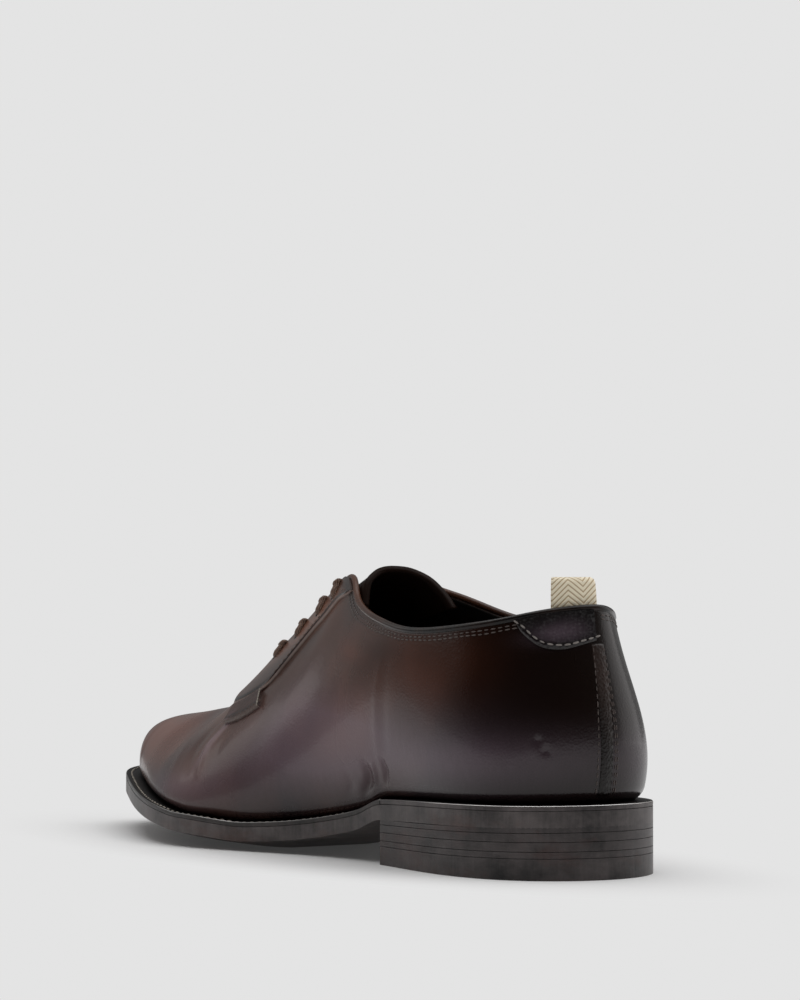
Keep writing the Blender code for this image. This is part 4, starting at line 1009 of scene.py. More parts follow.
def straight_edge(rows):
    """The collar's or throat's edge above an overlay, from its first section to its last."""
    return np.column_stack([np.linspace(rows[0][1], rows[-1][1], len(rows)), np.ones(len(rows))])


def outward(data):
    """Turns a closed mesh's faces outwards."""
    shape = bmesh.new()
    shape.from_mesh(data)
    bmesh.ops.recalc_face_normals(shape, faces=shape.faces)
    if shape.calc_volume(signed=True) < 0:
        bmesh.ops.reverse_faces(shape, faces=shape.faces)
    shape.to_mesh(data)
    shape.free()


LAYER_SINK = 0.1 * MM
PARED_SHARE = 0.12
SHARP_ANGLE = math.radians(40)
# Painted highlight on the cut edge, then painted shade for a groove beside it: columns of points up from
# the lower edge, and how far each is tinted, light above zero and dark under it
PAINTED_RIM_TONES = ((np.s_[:3], 1.0), (3, 0.4), (np.s_[4:6], -0.9), (6, -0.5))


def overlay(name, side, lower, upper_edge, look, thickness, pared, steps):
    """A layer between two edges on the leather, pared thin at its lower edge."""
    low = open_curve([row[1:] for row in lower], steps[0])
    high = open_curve(upper_edge, steps[0])
    share = np.linspace(0, 1, steps[1])[None, :, None] ** 1.6
    place = low[:, None] * (1 - share) + high[:, None] * share
    section, height = place[..., 0], np.minimum(place[..., 1], 1.0)
    edge_share = np.clip(share[..., 0] / PARED_SHARE, 0, 1)
    lift = pared + (thickness - pared) * edge_share * (2 - edge_share)
    over = skin(side, section, height, lift)
    under = skin(side, section, height, -LAYER_SINK)
    faces = [world_points(points) for points in (over, under)]
    flip = (side == "lateral") != (low[-1][0] < low[0][0])
    grids = [(faces[0], flip), (faces[1], not flip)]
    rim_paint = np.zeros(section.shape)
    for columns, amount in PAINTED_RIM_TONES:
        rim_paint[:, columns] = amount
    polish_and_painted_light = {"tone": [], "painted_sheen": [], "warmth": [], "rim": [rim_paint, np.zeros_like(rim_paint)]}
    places = [(section, height), (section, height)]
    rims = ((np.s_[:, 0], True), (np.s_[:, -1], False), (np.s_[0, :], False), (np.s_[-1, :], True))
    for edge, faces_out in rims:
        grids.append((np.stack([faces[1][edge], faces[0][edge]], axis=1), flip == faces_out))
        polish_and_painted_light["rim"].append(np.stack([np.zeros_like(rim_paint[edge]), rim_paint[edge]], axis=1))
        places.append([np.stack([values[edge], values[edge]], axis=1) for values in (section, height)])
    for place in places:
        for values, label in zip(polish_and_sheen_at(side, *place), polish_and_painted_light):
            polish_and_painted_light[label].append(values)
    data = grid_mesh(name, grids, polish_and_painted_light.items())
    outward(data)
    data.set_sharp_from_angle(angle=SHARP_ANGLE)
    return placed(name, data, look)


OVERLAY_FACE = GAP + OVERLAY_THICKNESS
for side in SIDES:
    facing = overlay(
        "facing_%s_leather" % side, side, FACING_LINE, straight_edge(FACING_LINE), CALF,
        OVERLAY_FACE, FACING_PARED, (110, 26),
    )
    punched(facing, punches[side])
    rides(facing, "upper_leather", "facing_" + side)
    patch = overlay(
        "throat_patch_%s_leather" % side, side, PATCH_LOWER, [row[1:] for row in PATCH_UPPER], PEBBLED,
        OVERLAY_FACE, PATCH_PARED, (40, 14),
    )
    rides(patch, "upper_leather", "throat_patch_" + side)
    for punch in punches[side]:
        bpy.data.objects.remove(punch)
tab = overlay(
    "heel_tab_leather", "lateral", TAB_LOWER, straight_edge(TAB_LOWER), TAB_LOOK,
    TAB_THICKNESS, TAB_PARED, (60, 20),
)
rides(tab, "upper_leather", "heel_tab")


# Back strip.
# A narrow strap of pebbled calf, folded at its edges and sewn down over the seam that joins the
# quarters at the heel's back. Shares are of the heel's height.
BACK_STRIP_WIDTH = 4.6 * MM
BACK_STRIP_LIFT = 0.30 * MM
BACK_STRIP_FOOT = 0.035
BACK_STRIP_TOP = 0.83
BACK_STRIP_ROWS = 60

around = np.linspace(0, 0.8, 61)
ring = []
for level in np.linspace(BACK_STRIP_FOOT, BACK_STRIP_TOP, BACK_STRIP_ROWS):
    plan = {side: upper_surface(side, around, level) for side in SIDES}
    row = []
    for share in np.linspace(-1, 1, 9):
        side = "lateral" if share >= 0 else "medial"
        run = np.r_[0, np.cumsum(np.linalg.norm(np.diff(plan[side], axis=0), axis=1))]
        at = float(np.interp(abs(share) * BACK_STRIP_WIDTH / 2, run, around))
        row.append(skin(side, np.array(at), np.array(level), BACK_STRIP_LIFT * (1 - share**2 * 0.8)))
    ring.append(row)
ring = np.array(ring)
data = grid_mesh("back_strip_leather", [(world_points(ring), False)])
strip = walled(placed("back_strip_leather", data, PEBBLED), BACK_STRIP_LIFT * 0.9, -1)
settled(strip)
rides(strip, "upper_leather", "back_strip")


# Collar binding.
# Thin glove leather rolled over a cord and sewn along the collar's edge; it goes from brown at
# the throat to black at the heel.
BINDING_RADIUS = 1.15 * MM
BINDING_END = 6.36
BINDING_STEPS = 170
BINDING_SIDES = 14
# Sections between which the dye goes from black at the heel to brown
BINDING_DYED = (3.2, 5.8)


def bead(name, centre, radius, sides, look, tone):
    """A round bead swept along world points and closed at both ends, its rings toned for the dye."""
    ahead = np.gradient(centre, axis=0)
    ahead /= np.linalg.norm(ahead, axis=1)[:, None]
    across = np.cross(ahead, (0.0, 0.0, 1.0))
    across /= np.linalg.norm(across, axis=1)[:, None]
    rise = np.cross(across, ahead)
    turn = np.linspace(0, 2 * math.pi, sides + 1)[:, None]
    rings = centre[:, None] + radius * (across[:, None] * np.cos(turn) + rise[:, None] * np.sin(turn))
    ends = [np.repeat(centre[k][None, None], sides + 1, axis=1) for k in (0, -1)]
    rings = np.concatenate([ends[0], rings, ends[1]])
    tones = np.repeat(np.r_[tone[0], tone, tone[-1]][:, None], sides + 1, axis=1)
    data = grid_mesh(name, [(rings, True)], [("tone", [tones])])
    outward(data)
    return placed(name, data, look)


def binding_route(lift):
    """World points along the collar's bead, from the lateral facing round the heel to the medial."""
    sections = np.linspace(BINDING_END, 0, BINDING_STEPS)
    path = []
    station = []
    for side, run in (("lateral", sections), ("medial", sections[::-1][1:])):
        edge = upper_surface(side, run, 1.0)
        upward = edge - upper_surface(side, run, 0.98)
        upward /= np.linalg.norm(upward, axis=1)[:, None]
        inward = -surface_normal(side, run, 1.0)
        path.append(edge + upward * lift + inward * UPPER_WALL * 0.3)
        station.append(run)
    path = np.vstack(path)
    return world_points(path), np.concatenate(station)


def glove(name, dark, brown, roughness, gloss):
    """Glove leather: its colour follows the dye's tone and is finely creased."""
    look, tree, shader = new_look(name, roughness, gloss, 0.05, 0.3)
    place = tree.nodes.new("ShaderNodeTexCoord").outputs["Object"]
    cloud = noise(tree, place, 140.0, 3.0, 0.6)
    amount = math_node(tree, "ADD", painted(tree, "tone"), math_node(tree, "MULTIPLY", cloud, 0.4))
    link(tree, ramp(tree, amount, ((0.15, dark), (1.05, brown))), shader.inputs["Base Color"])
    creased = bumped(tree, noise(tree, place, 900.0, 3.0, 0.6), 0.15, PORE_DEPTH)
    link(tree, creased, shader.inputs["Normal"])
    return look


BINDING_LOOK = glove("binding_leather", (0.006, 0.005, 0.005), (0.090, 0.036, 0.020), 0.24, 0.22)
route, station = binding_route(0.55 * BINDING_RADIUS)
tone = np.clip((station - BINDING_DYED[0]) / (BINDING_DYED[1] - BINDING_DYED[0]), 0, 1)
roll = bead("topline_bead", route, BINDING_RADIUS, BINDING_SIDES, BINDING_LOOK, tone)
rides(roll, "binding_leather", "topline_binding")


# Tongue.
# Glove leather folded over the instep under the facings, with a rolled rim that stands above the
# collar.
TONGUE_THICKNESS = 2.2 * MM
TONGUE_SINK = 2.2 * MM
# Columns of the fold up each side, and the sections that its rows follow
TONGUE_HEIGHTS = (0.80, 0.865, 0.93, 0.975)
TONGUE_SECTIONS = (9.75, 9.2, 8.6, 8.0, 7.4, 6.9, 6.45)
# Free rim over the collar: along as a share of the length, across of the ball width, up of the instep
TONGUE_RIM = (
    ("lateral_edge", 0.394, 0.132, 0.900),
    ("lateral_side", 0.402, 0.108, 0.985),
    ("lateral_turn", 0.407, 0.070, 1.022),
    ("lateral_crown", 0.409, 0.030, 1.040),
    ("crown", 0.405, -0.012, 1.044),
    ("medial_crown", 0.398, -0.064, 1.035),
    ("medial_turn", 0.385, -0.112, 1.002),
    ("medial_side", 0.370, -0.140, 0.950),
    ("medial_edge", 0.356, -0.158, 0.890),
)


def smooth_sheet(name, rows, steps, flip, look, thickness):
    """A smooth sheet through rows of shoe points, with a thickness behind it."""
    fine = open_curve(rows, steps[0])
    fine = np.moveaxis(open_curve(np.moveaxis(fine, 1, 0), steps[1]), 0, 1)
    data = grid_mesh(name, [(world_points(fine), flip)])
    return settled(walled(placed(name, data, look), thickness, -1))


face = UPPER_WALL + 3 * GAP
rows = []
for section in TONGUE_SECTIONS:
    halves = {side: [raised(side, section, height, -face) for height in TONGUE_HEIGHTS] for side in SIDES}
    crown = (raised("lateral", section, 1.0, -face) + raised("medial", section, 1.0, -face)) / 2
    crown[2] -= TONGUE_SINK
    rows.append(halves["lateral"] + [crown] + halves["medial"][::-1])
size = np.array([SHOE_LENGTH, BALL_WIDTH, INSTEP_HEIGHT])
rows.append([np.array(row[1:]) * size for row in TONGUE_RIM])
TONGUE_LOOK = glove("tongue_leather", (0.012, 0.005, 0.003), (0.030, 0.013, 0.008), 0.6, 0.05)
tongue = smooth_sheet("tongue_leather", np.array(rows), (71, 65), False, TONGUE_LOOK, TONGUE_THICKNESS)
rides(tongue, "binding_leather", "tongue")

# Pull loop.
# Cotton herringbone tape, beige and ochre with a paler line down its middle, doubled and sewn in
# at the heel's back to pull the shoe on with.
TAPE_WIDTH = 17.5 * MM
TAPE_THICKNESS = 1.2 * MM
TAPE_RISE = 10 * MM
TAPE_LOOP_DEPTH = 4.6 * MM
TAPE_ACROSS = 4.3 * MM
TAPE_RIB = 1.7 * MM
TAPE_STRIPE = 1.8 * MM
TAPE_PALE = (1.0, 0.90, 0.70)
TAPE_SHADE = (0.48, 0.34, 0.18)
TAPE_OCHRE = (0.62, 0.44, 0.20)
TAPE_MIDDLE = (1.0, 0.82, 0.70)

around = np.linspace(0, 2, 161)
up = np.array([0.0, 0.0, 1.0])
bend = TAPE_LOOP_DEPTH / 2
behind_wall = UPPER_WALL + 1.5 * GAP
columns = []
for across in np.linspace(TAPE_ACROSS - TAPE_WIDTH / 2, TAPE_ACROSS + TAPE_WIDTH / 2, 13):
    side = "lateral" if across >= 0 else "medial"
    top = upper_surface(side, around, 1.0)
    at = float(np.interp(abs(across), np.abs(top[:, 1]), around))
    column = [raised(side, at, level, -behind_wall) for level in (0.84, 0.92, 1.0)]
    collar = column[-1]
    inward = -surface_normal(side, at, 1.0)
    inward[2] = 0.0
    inward /= np.linalg.norm(inward)
    turn_level = COLLAR_HEIGHT + TAPE_RISE - bend - collar[2]
    column.append(collar + up * turn_level * 0.5 + inward * bend * 0.15)
    for angle in np.linspace(0, math.pi, 7):
        centre = collar + up * turn_level + inward * bend * 1.3
        column.append(centre - inward * bend * math.cos(angle) + up * bend * math.sin(angle))
    column.append(collar + inward * TAPE_LOOP_DEPTH * 1.1 + up * turn_level * 0.3)
    column.append(collar + inward * TAPE_LOOP_DEPTH * 0.95 - up * TAPE_RISE * 0.5)
    column.append(collar + inward * TAPE_LOOP_DEPTH * 0.85 - up * TAPE_RISE * 1.1)
    columns.append(column)


def metres(tree):
    """Places on a tape or cord's own map, in metres across and along it."""
    spread = shader_node(tree, "ShaderNodeUVMap", uv_map="metres")
    parts = tree.nodes.new("ShaderNodeSeparateXYZ")
    link(tree, spread.outputs["UV"], parts.inputs[0])
    return parts.outputs["X"], parts.outputs["Y"]


TAPE, tree, shader = new_look("herringbone_tape", 0.85, 0.15)
shader.inputs["Sheen Weight"].default_value = 0.2
across_tape, along_tape = metres(tree)
slant = math_node(tree, "ADD", math_node(tree, "PINGPONG", across_tape, TAPE_WIDTH / 4), along_tape)
rib = math_node(tree, "FRACT", math_node(tree, "MULTIPLY", slant, 1 / TAPE_RIB))
rib = math_node(tree, "PINGPONG", rib, 0.5)
color = ramp(tree, math_node(tree, "MULTIPLY", rib, 2.0), ((0.10, TAPE_SHADE), (0.45, TAPE_PALE)))
middle = math_node(tree, "ADD", across_tape, TAPE_WIDTH / 2)
dyed = math_node(tree, "MULTIPLY", math_node(tree, "LESS_THAN", middle, 0.0), 0.35)
color = mixed(tree, dyed, color, TAPE_OCHRE)
stripe = math_node(tree, "LESS_THAN", math_node(tree, "ABSOLUTE", middle), TAPE_STRIPE / 2)
color = mixed(tree, stripe, color, TAPE_MIDDLE)
link(tree, color, shader.inputs["Base Color"])
link(tree, bumped(tree, rib, 0.6, 0.4 * MM), shader.inputs["Normal"])
tape = smooth_sheet("pull_loop_tape", np.array(columns), (25, 90), True, TAPE, TAPE_THICKNESS)
rides(tape, "loop_tape", "pull_loop")


# Laces.
# Round waxed laces pressed flat, of brown thread with a paler woven core, running across the
# throat through each pair of eyelets.
LACE_WIDTH = 3.8 * MM
LACE_THICKNESS = 2.0 * MM
LACE_SIDES = 16
LACE_SAG = 2.0 * MM
LACE_DIP = 1.2 * MM
LACE_PLAIT = 0.9 * MM
LACE_DARK = (0.050, 0.024, 0.016)
LACE_BROWN = (0.215, 0.125, 0.085)


def lace_bar(name, route, wide):
    """A flat cord along a route of shoe points: an oval swept with its long side one way."""
    ahead = np.gradient(route, axis=0)
    ahead /= np.linalg.norm(ahead, axis=1)[:, None]
    side = wide - ahead * (ahead @ wide)[:, None]
    side /= np.linalg.norm(side, axis=1)[:, None]
    face = np.cross(ahead, side)
    turn = np.linspace(0, 2 * math.pi, LACE_SIDES + 1)
    flat = np.sign(np.sin(turn)) * np.abs(np.sin(turn)) ** 0.8
    rings = (
        route[:, None]
        + side[:, None] * (np.cos(turn) * LACE_WIDTH / 2)[:, None]
        + face[:, None] * (flat * LACE_THICKNESS / 2)[:, None]
    )
    ends = [np.repeat(route[k][None, None], LACE_SIDES + 1, axis=1) for k in (0, -1)]
    rings = np.concatenate([ends[0], rings, ends[1]])
    data = grid_mesh(name, [(world_points(rings), True)])
    outward(data)
    return placed(name, data, LACE)


LACE, tree, shader = new_look("waxed_lace", 0.5, 0.35)
first_way, second_way = metres(tree)
plait = math_node(tree, "ADD", second_way, math_node(tree, "PINGPONG", first_way, LACE_PLAIT))
plait = math_node(tree, "FRACT", math_node(tree, "MULTIPLY", plait, 1 / LACE_PLAIT))
plait = math_node(tree, "PINGPONG", plait, 0.5)
link(tree, ramp(tree, plait, ((0.05, LACE_DARK), (0.40, LACE_BROWN))), shader.inputs["Base Color"])
link(tree, bumped(tree, plait, 0.7, 0.5 * MM), shader.inputs["Normal"])

over = GAP + OVERLAY_THICKNESS + LACE_THICKNESS / 4
for number, section in enumerate(EYELET_SECTIONS, start=1):
    ends = {}
    for side in SIDES:
        hole = eyelet_place(side, section, 0.0)
        normal = eyelet_place(side, section, MM) - hole
        normal /= np.linalg.norm(normal)
        ends[side] = [hole + normal * rise for rise in (-LACE_DIP, 0.3 * over, 0.75 * over)]
        for distance in (0.80, 0.55, 0.30, 0.05):
            level = height_below_edge(side, section, distance * EYELET_FROM_EDGE)
            ends[side].append(raised(side, section, level, over))
    crown = (ends["lateral"][-1] + ends["medial"][-1]) / 2 - np.array([0, 0, LACE_SAG])
    route = open_curve(np.array(ends["lateral"] + [crown] + ends["medial"][::-1]), 90)
    ridge = upper_surface("lateral", section + 0.1, 1.0) - upper_surface("lateral", section - 0.1, 1.0)
    ridge[1] = 0.0
    rides(lace_bar("lace_%d" % number, route, ridge), "lace_cord", "lace_bar_%d" % number)


# Sole and welt.
# Oak-bark leather outsole and a welt of the same, stitched together round the forepart; the
# edges are trimmed, stained dark, waxed and burnished with a hot iron, then scuffed by wear.
WELT_WIDTH = 13 * MM
WELT_CORNER = 0.60 * MM
RAND_CORNER = 0.42 * MM
SOLE_CORNER = 0.18 * MM
# How much of a gap between glued layers the scene closes
GLUED = 0.9 * GAP
BEAD_BLACK = (0.060, 0.054, 0.052)
BEAD_GLINT_PAINT = (0.62, 0.58, 0.55)
BEAD_GLOSS = 3.0
# Places along the shoe, in Blender's Y, between which the heel's bead goes from black to a pale
# painted highlight, the glint on the heel seat
BEAD_GLINT_SPAN = (0.092, 0.112)
# How far up a face must look to belong to the welt's top, or to the bead on its edge
LEDGE_SLOPE = 0.93
BEAD_SLOPE = 0.50


def rows_along(start, end, count):
    turn = np.linspace(0, math.pi, count + 1)
    return start + (end - start) * (1 - np.cos(turn)) / 2


def plan_grid(along, lateral, medial, shares):
    """Grid of plan points: a row for each place along, and the shares across."""
    lateral_across = np.interp(along, lateral[:, 0], lateral[:, 1])
    medial_across = np.interp(-along, -medial[:, 0], medial[:, 1])
    centre = (lateral_across + medial_across) / 2
    half = (lateral_across - medial_across) / 2
    return np.repeat(along[:, None], len(shares), axis=1), centre[:, None] + half[:, None] * shares


def slab(name, along, across, low, high, look, corner):
    """A plate between two levels over a grid of plan points, with rounded corners."""
    top = world(along, across, high)
    under = world(along, across, low)
    grids = [(top, False), (under, True)]
    levels = np.linspace(0, 1, 5)[None, :, None]
    for edge in (np.s_[:, 0], np.s_[:, -1], np.s_[0, :], np.s_[-1, :]):
        grids.append((under[edge][:, None] * (1 - levels) + top[edge][:, None] * levels, False))
    data = grid_mesh(name, grids)
    outward(data)
    data.set_sharp_from_angle(angle=SHARP_ANGLE)
    piece = placed(name, data, look)
    bevel = piece.modifiers.new("corner", "BEVEL")
    bevel.width = corner
    bevel.segments = 3
    bevel.limit_method = "ANGLE"
    bevel.angle_limit = math.radians(50)
    bevel.harden_normals = False
    return settled(piece)


def waxed_edge(name, dark, light, dusty, roughness, band):
    """Stained and waxed leather edge: streaks along the sole, reddish dust in fine scratches."""
    look, tree, shader = new_look(name, roughness, 0.35, 0.1, 0.3)
    place = tree.nodes.new("ShaderNodeTexCoord").outputs["Object"]
    streaks = noise(tree, place, 55.0, 4.0, 0.65, (1.0, 1.0, band))
    upright = noise(tree, place, 170.0, 4.0, 0.7, (1.0, 1.0, 0.16))
    streaks = math_node(tree, "MULTIPLY", streaks, 0.6)
    amount = math_node(tree, "ADD", streaks, math_node(tree, "MULTIPLY", upright, 0.4))
    color = ramp(tree, amount, ((0.34, dark), (0.60, light), (0.75, light)))
    dust = noise(tree, place, 35.0, 5.0, 0.7, (1.0, 1.0, 2.0))
    dust = ramp(tree, dust, ((0.52, (0.0, 0.0, 0.0)), (0.66, (1.0, 1.0, 1.0))))
    color = mixed(tree, math_node(tree, "MULTIPLY", dust, 0.35), color, dusty)
    link(tree, color, shader.inputs["Base Color"])
    dull = math_node(tree, "ADD", math_node(tree, "MULTIPLY", upright, 0.35), roughness - 0.12)
    link(tree, dull, shader.inputs["Roughness"])
    normal = bumped(tree, upright, 0.30, 0.6 * MM)
    fibres = noise(tree, place, 700.0, 3.0, 0.6, (1.0, 1.0, band))
    link(tree, bumped(tree, fibres, 0.2, 0.3 * MM, normal), shader.inputs["Normal"])
    return look


SOLE_EDGE = waxed_edge(
    "sole_edge", dark=(0.006, 0.005, 0.005), light=(0.115, 0.098, 0.096), dusty=(0.090, 0.036, 0.024),
    roughness=0.42, band=1.4,
)
fine_shares = np.sin(np.linspace(-1, 1, 25) * math.pi / 2)
lateral, medial = OUTLINE_POINTS[: TIP_INDEX + 1], OUTLINE_POINTS[TIP_INDEX:]
along, across = plan_grid(rows_along(0.0, OUTLINE_POINTS[:, 0].max(), 150), lateral, medial, fine_shares)
low = underside(along, across) - GLUED * (along < HEEL_LENGTH)
high = outsole_top(along, across) + GLUED
outsole = slab("outsole_leather", along, across, low, high, SOLE_EDGE, SOLE_CORNER)
rides(outsole, "sole_leather", "outsole")


def strip_grid(start, end, count, steps):
    """Grid of plan points on a band inside the outline, from one share of it to another."""
    share = np.linspace(start, end, count + 1)
    edge = outline_at(share)
    inward = -outline_normal_at(share)
    grid = edge[:, None, :] + inward[:, None, :] * np.asarray(steps)[:, None]
    return grid[..., 0], grid[..., 1]


def shade_ledge_polish_bead(piece, shade_look, bead_look):
    """Colours the ledge under the upper near black as painted shade, and gives the bead on its outer edge
    its own finish.
    """
    piece.data.materials.append(shade_look)
    piece.data.materials.append(bead_look)
    for face in piece.data.polygons:
        if face.normal.z > LEDGE_SLOPE:
            face.material_index = 1
        elif face.normal.z > BEAD_SLOPE:
            face.material_index = 2


def welt_band(name, start, end, count, look, corner):
    """A band of welt leather from one share of the outline to another."""
    along, across = strip_grid(start, end, count, WELT_WIDTH * np.linspace(0, 1, 11))
    low = outsole_top(along, across) + GAP
    return slab(name, along, across, low, welt_top(along, across), look, corner)


# Painted shade: the welt's edge takes the sole edge's finish in darker colours, for the shade under the
# upper.
WELT_EDGE_SHADED = waxed_edge(
    "welt_edge_painted_shade", dark=(0.004, 0.004, 0.003), light=(0.052, 0.044, 0.042), dusty=(0.030, 0.016, 0.012),
    roughness=0.42, band=1.4,
)
# Painted shade: near black on the welt's and rand's top, for the shadow of the upper over them.
LEDGE_SHADE_PAINT = plain_look("ledge_painted_shade", (0.006, 0.005, 0.005), 0.5, 0.15)
BEAD, tree, shader = new_look("polished_bead", 0.12, 0.8, 1.0, 0.06)
shader.inputs["Base Color"].default_value = (*BEAD_BLACK, 1.0)
shader.inputs["IOR"].default_value = BEAD_GLOSS
# Painted highlight: the rand's bead turns pale over the back of the heel, standing for the white glint along
# the heel seat's edge.
GLINT_BEAD, tree, shader = new_look("bead_painted_glint", 0.12, 0.8, 1.0, 0.06)
shader.inputs["IOR"].default_value = BEAD_GLOSS
parts = tree.nodes.new("ShaderNodeSeparateXYZ")
link(tree, tree.nodes.new("ShaderNodeTexCoord").outputs["Object"], parts.inputs[0])
glint = shader_node(tree, "ShaderNodeMapRange", interpolation_type="SMOOTHSTEP")
glint.inputs["From Min"].default_value, glint.inputs["From Max"].default_value = BEAD_GLINT_SPAN
link(tree, parts.outputs["Y"], glint.inputs["Value"])
link(tree, mixed(tree, glint.outputs["Result"], BEAD_BLACK, BEAD_GLINT_PAINT), shader.inputs["Base Color"])
breast = HEEL_LENGTH + GAP / 2
first = share_on_outline("lateral", breast + GAP / 2)
last = share_on_outline("medial", breast + GAP / 2)
welt = welt_band("welt_leather", first, last, 420, WELT_EDGE_SHADED, WELT_CORNER)
shade_ledge_polish_bead(welt, LEDGE_SHADE_PAINT, BEAD)
rides(welt, "sole_leather", "welt")
first = share_on_outline("lateral", breast - GAP / 2)
last = share_on_outline("medial", breast - GAP / 2) - 1.0
rand = welt_band("heel_rand_leather", last, first, 160, SOLE_EDGE, RAND_CORNER)
shade_ledge_polish_bead(rand, LEDGE_SHADE_PAINT, GLINT_BEAD)
rides(rand, "sole_leather", "heel_rand")

# Heel.
# Lifts of sole leather glued in a stack, the lowest a rubber top piece; the side is rasped, stained
# and waxed like the sole's edge, and the joints between the lifts show as thin dark lines.

# Layers from the floor up: name, top as a share of the stack, material
HEEL_LAYERS = (
    ("top_piece", 0.415, "heel_rubber"),
    ("heel_lift_1", 0.545, "sole_leather"),
    ("heel_lift_2", 0.730, "sole_leather"),
    ("heel_lift_3", 0.905, "sole_leather"),
    ("heel_base", 1.000, "sole_leather"),
)
BREAST_HOLLOW = 3 * MM
LIFT_JOINT = 0.16 * MM
LIFT_CORNER = 0.12 * MM
TOP_PIECE_CORNER = 0.25 * MM

HEEL_LOOK = waxed_edge(
    "heel_edge", dark=(0.006, 0.005, 0.005), light=(0.080, 0.067, 0.066), dusty=(0.065, 0.020, 0.014),
    roughness=0.38, band=1.8,
)
turn = np.linspace(0, math.pi / 2, 60)
heel_along = HEEL_LENGTH * (1 - np.cos(turn))
heel_shares = np.sin(np.linspace(-1, 1, 21) * math.pi / 2)
along, across = plan_grid(heel_along, lateral, medial, heel_shares)
along = along - BREAST_HOLLOW * (1 - heel_shares**2) * (along / HEEL_LENGTH) ** 4
foot_share = 0.0
for name, top_share, slot in HEEL_LAYERS:
    foot = (heel_seat_level(along) - GAP) * foot_share + (LIFT_JOINT if foot_share else 0.0)
    head = (heel_seat_level(along) - GAP * (0.3 if top_share == 1.0 else 1.0)) * top_share
    corner = LIFT_CORNER if foot_share else TOP_PIECE_CORNER
    layer = slab(name + "_layer", along, across, foot, head, HEEL_LOOK, corner)
    rides(layer, slot, name)
    foot_share = top_share

# Insole.
# Leather insole on the welt's inner edge, under a thin sock lining that covers its whole length
# and has been glazed dark by the foot.
INSOLE_THICKNESS = 3.0 * MM
INSOLE_CORNER = 0.3 * MM
INSOLE_LOOK = plain_look("sock_lining", (0.020, 0.014, 0.011), 0.55, 0.3)
sections = np.linspace(0, LAST_SECTION, LAST_SECTION * 8 + 1)
inner = {side: raised(side, sections, 0.0, -(UPPER_WALL + 3 * GAP))[:, :2] for side in SIDES}

along = rows_along(inner["lateral"][0, 0], inner["lateral"][-1, 0], 60)
along, across = plan_grid(along, inner["lateral"], inner["medial"][::-1], fine_shares[::2])
foot = welt_top(along, across) + 2 * GAP
insole = slab("insole_leather", along, across, foot, foot + INSOLE_THICKNESS, INSOLE_LOOK, INSOLE_CORNER)
rides(insole, "lining_leather", "insole")


# Stitching.
# Waxed linen thread, pale on the welt and at the throat, grey on the tab and dark or brown
# elsewhere: each stitch is a small bead that lies in the leather along its row.
STITCH_VARIES = (0.85, 1.1)


def stitch_group():
    """Node group that lays one stitch at each step along a curve."""
    group = bpy.data.node_groups.new("stitch_row", "GeometryNodeTree")
    for label, kind in (("Geometry", "Geometry"), ("Spacing", "Float"), ("Length", "Float"),
                        ("Radius", "Float"), ("Seed", "Int"), ("Material", "Material")):
        group.interface.new_socket(label, in_out="INPUT", socket_type="NodeSocket" + kind)
    group.interface.new_socket("Geometry", in_out="OUTPUT", socket_type="NodeSocketGeometry")
    enter = group.nodes.new("NodeGroupInput")
    leave = group.nodes.new("NodeGroupOutput")
    points = shader_node(group, "GeometryNodeCurveToPoints", mode="LENGTH")
    link(group, enter.outputs["Geometry"], points.inputs["Curve"])
    link(group, enter.outputs["Spacing"], points.inputs["Length"])
    ball = shader_node(group, "GeometryNodeMeshUVSphere", Segments=8, Rings=6, Radius=1.0)
    shape = group.nodes.new("ShaderNodeCombineXYZ")
    link(group, enter.outputs["Radius"], shape.inputs["X"])
    link(group, enter.outputs["Radius"], shape.inputs["Y"])
    link(group, math_node(group, "MULTIPLY", enter.outputs["Length"], 0.5), shape.inputs["Z"])
    jitter = shader_node(group, "FunctionNodeRandomValue", data_type="FLOAT")
    jitter.inputs[2].default_value, jitter.inputs[3].default_value = STITCH_VARIES
    link(group, enter.outputs["Seed"], jitter.inputs["Seed"])
    grown = shader_node(group, "ShaderNodeVectorMath", operation="SCALE")
    link(group, shape.outputs["Vector"], grown.inputs[0])
    link(group, jitter.outputs[1], grown.inputs["Scale"])
    laid = group.nodes.new("GeometryNodeInstanceOnPoints")
    link(group, points.outputs["Points"], laid.inputs["Points"])
    link(group, ball.outputs["Mesh"], laid.inputs["Instance"])
    link(group, points.outputs["Rotation"], laid.inputs["Rotation"])
    link(group, grown.outputs["Vector"], laid.inputs["Scale"])
    real = group.nodes.new("GeometryNodeRealizeInstances")
    link(group, laid.outputs["Instances"], real.inputs["Geometry"])
    smooth = group.nodes.new("GeometryNodeSetShadeSmooth")
    link(group, real.outputs["Geometry"], smooth.inputs["Geometry"])
    colored = group.nodes.new("GeometryNodeSetMaterial")
    link(group, smooth.outputs["Geometry"], colored.inputs["Geometry"])
    link(group, enter.outputs["Material"], colored.inputs["Material"])
    link(group, colored.outputs["Geometry"], leave.inputs["Geometry"])
    return group


STITCH_ROW = stitch_group()


def stitch_row(name, rows, spacing, length, radius, seed, look, slot):
    """Stitches along one or more rows of world points."""
    curve = bpy.data.curves.new(name, "CURVE")
    curve.dimensions = "3D"
    for row in rows:
        spline = curve.splines.new("POLY")
        spline.points.add(len(row) - 1)
        for point, place in zip(spline.points, row):
            point.co = (*place, 1.0)
    piece = bpy.data.objects.new(name, curve)
    bpy.context.scene.collection.objects.link(piece)
    run = piece.modifiers.new("stitches", "NODES")
    run.node_group = STITCH_ROW
    values = {"Spacing": spacing, "Length": length, "Radius": radius, "Seed": seed, "Material": look}
    for item in STITCH_ROW.interface.items_tree:
        if item.in_out == "INPUT" and item.name in values:
            run[item.identifier] = values[item.name]
    return rides(settled(piece), slot)


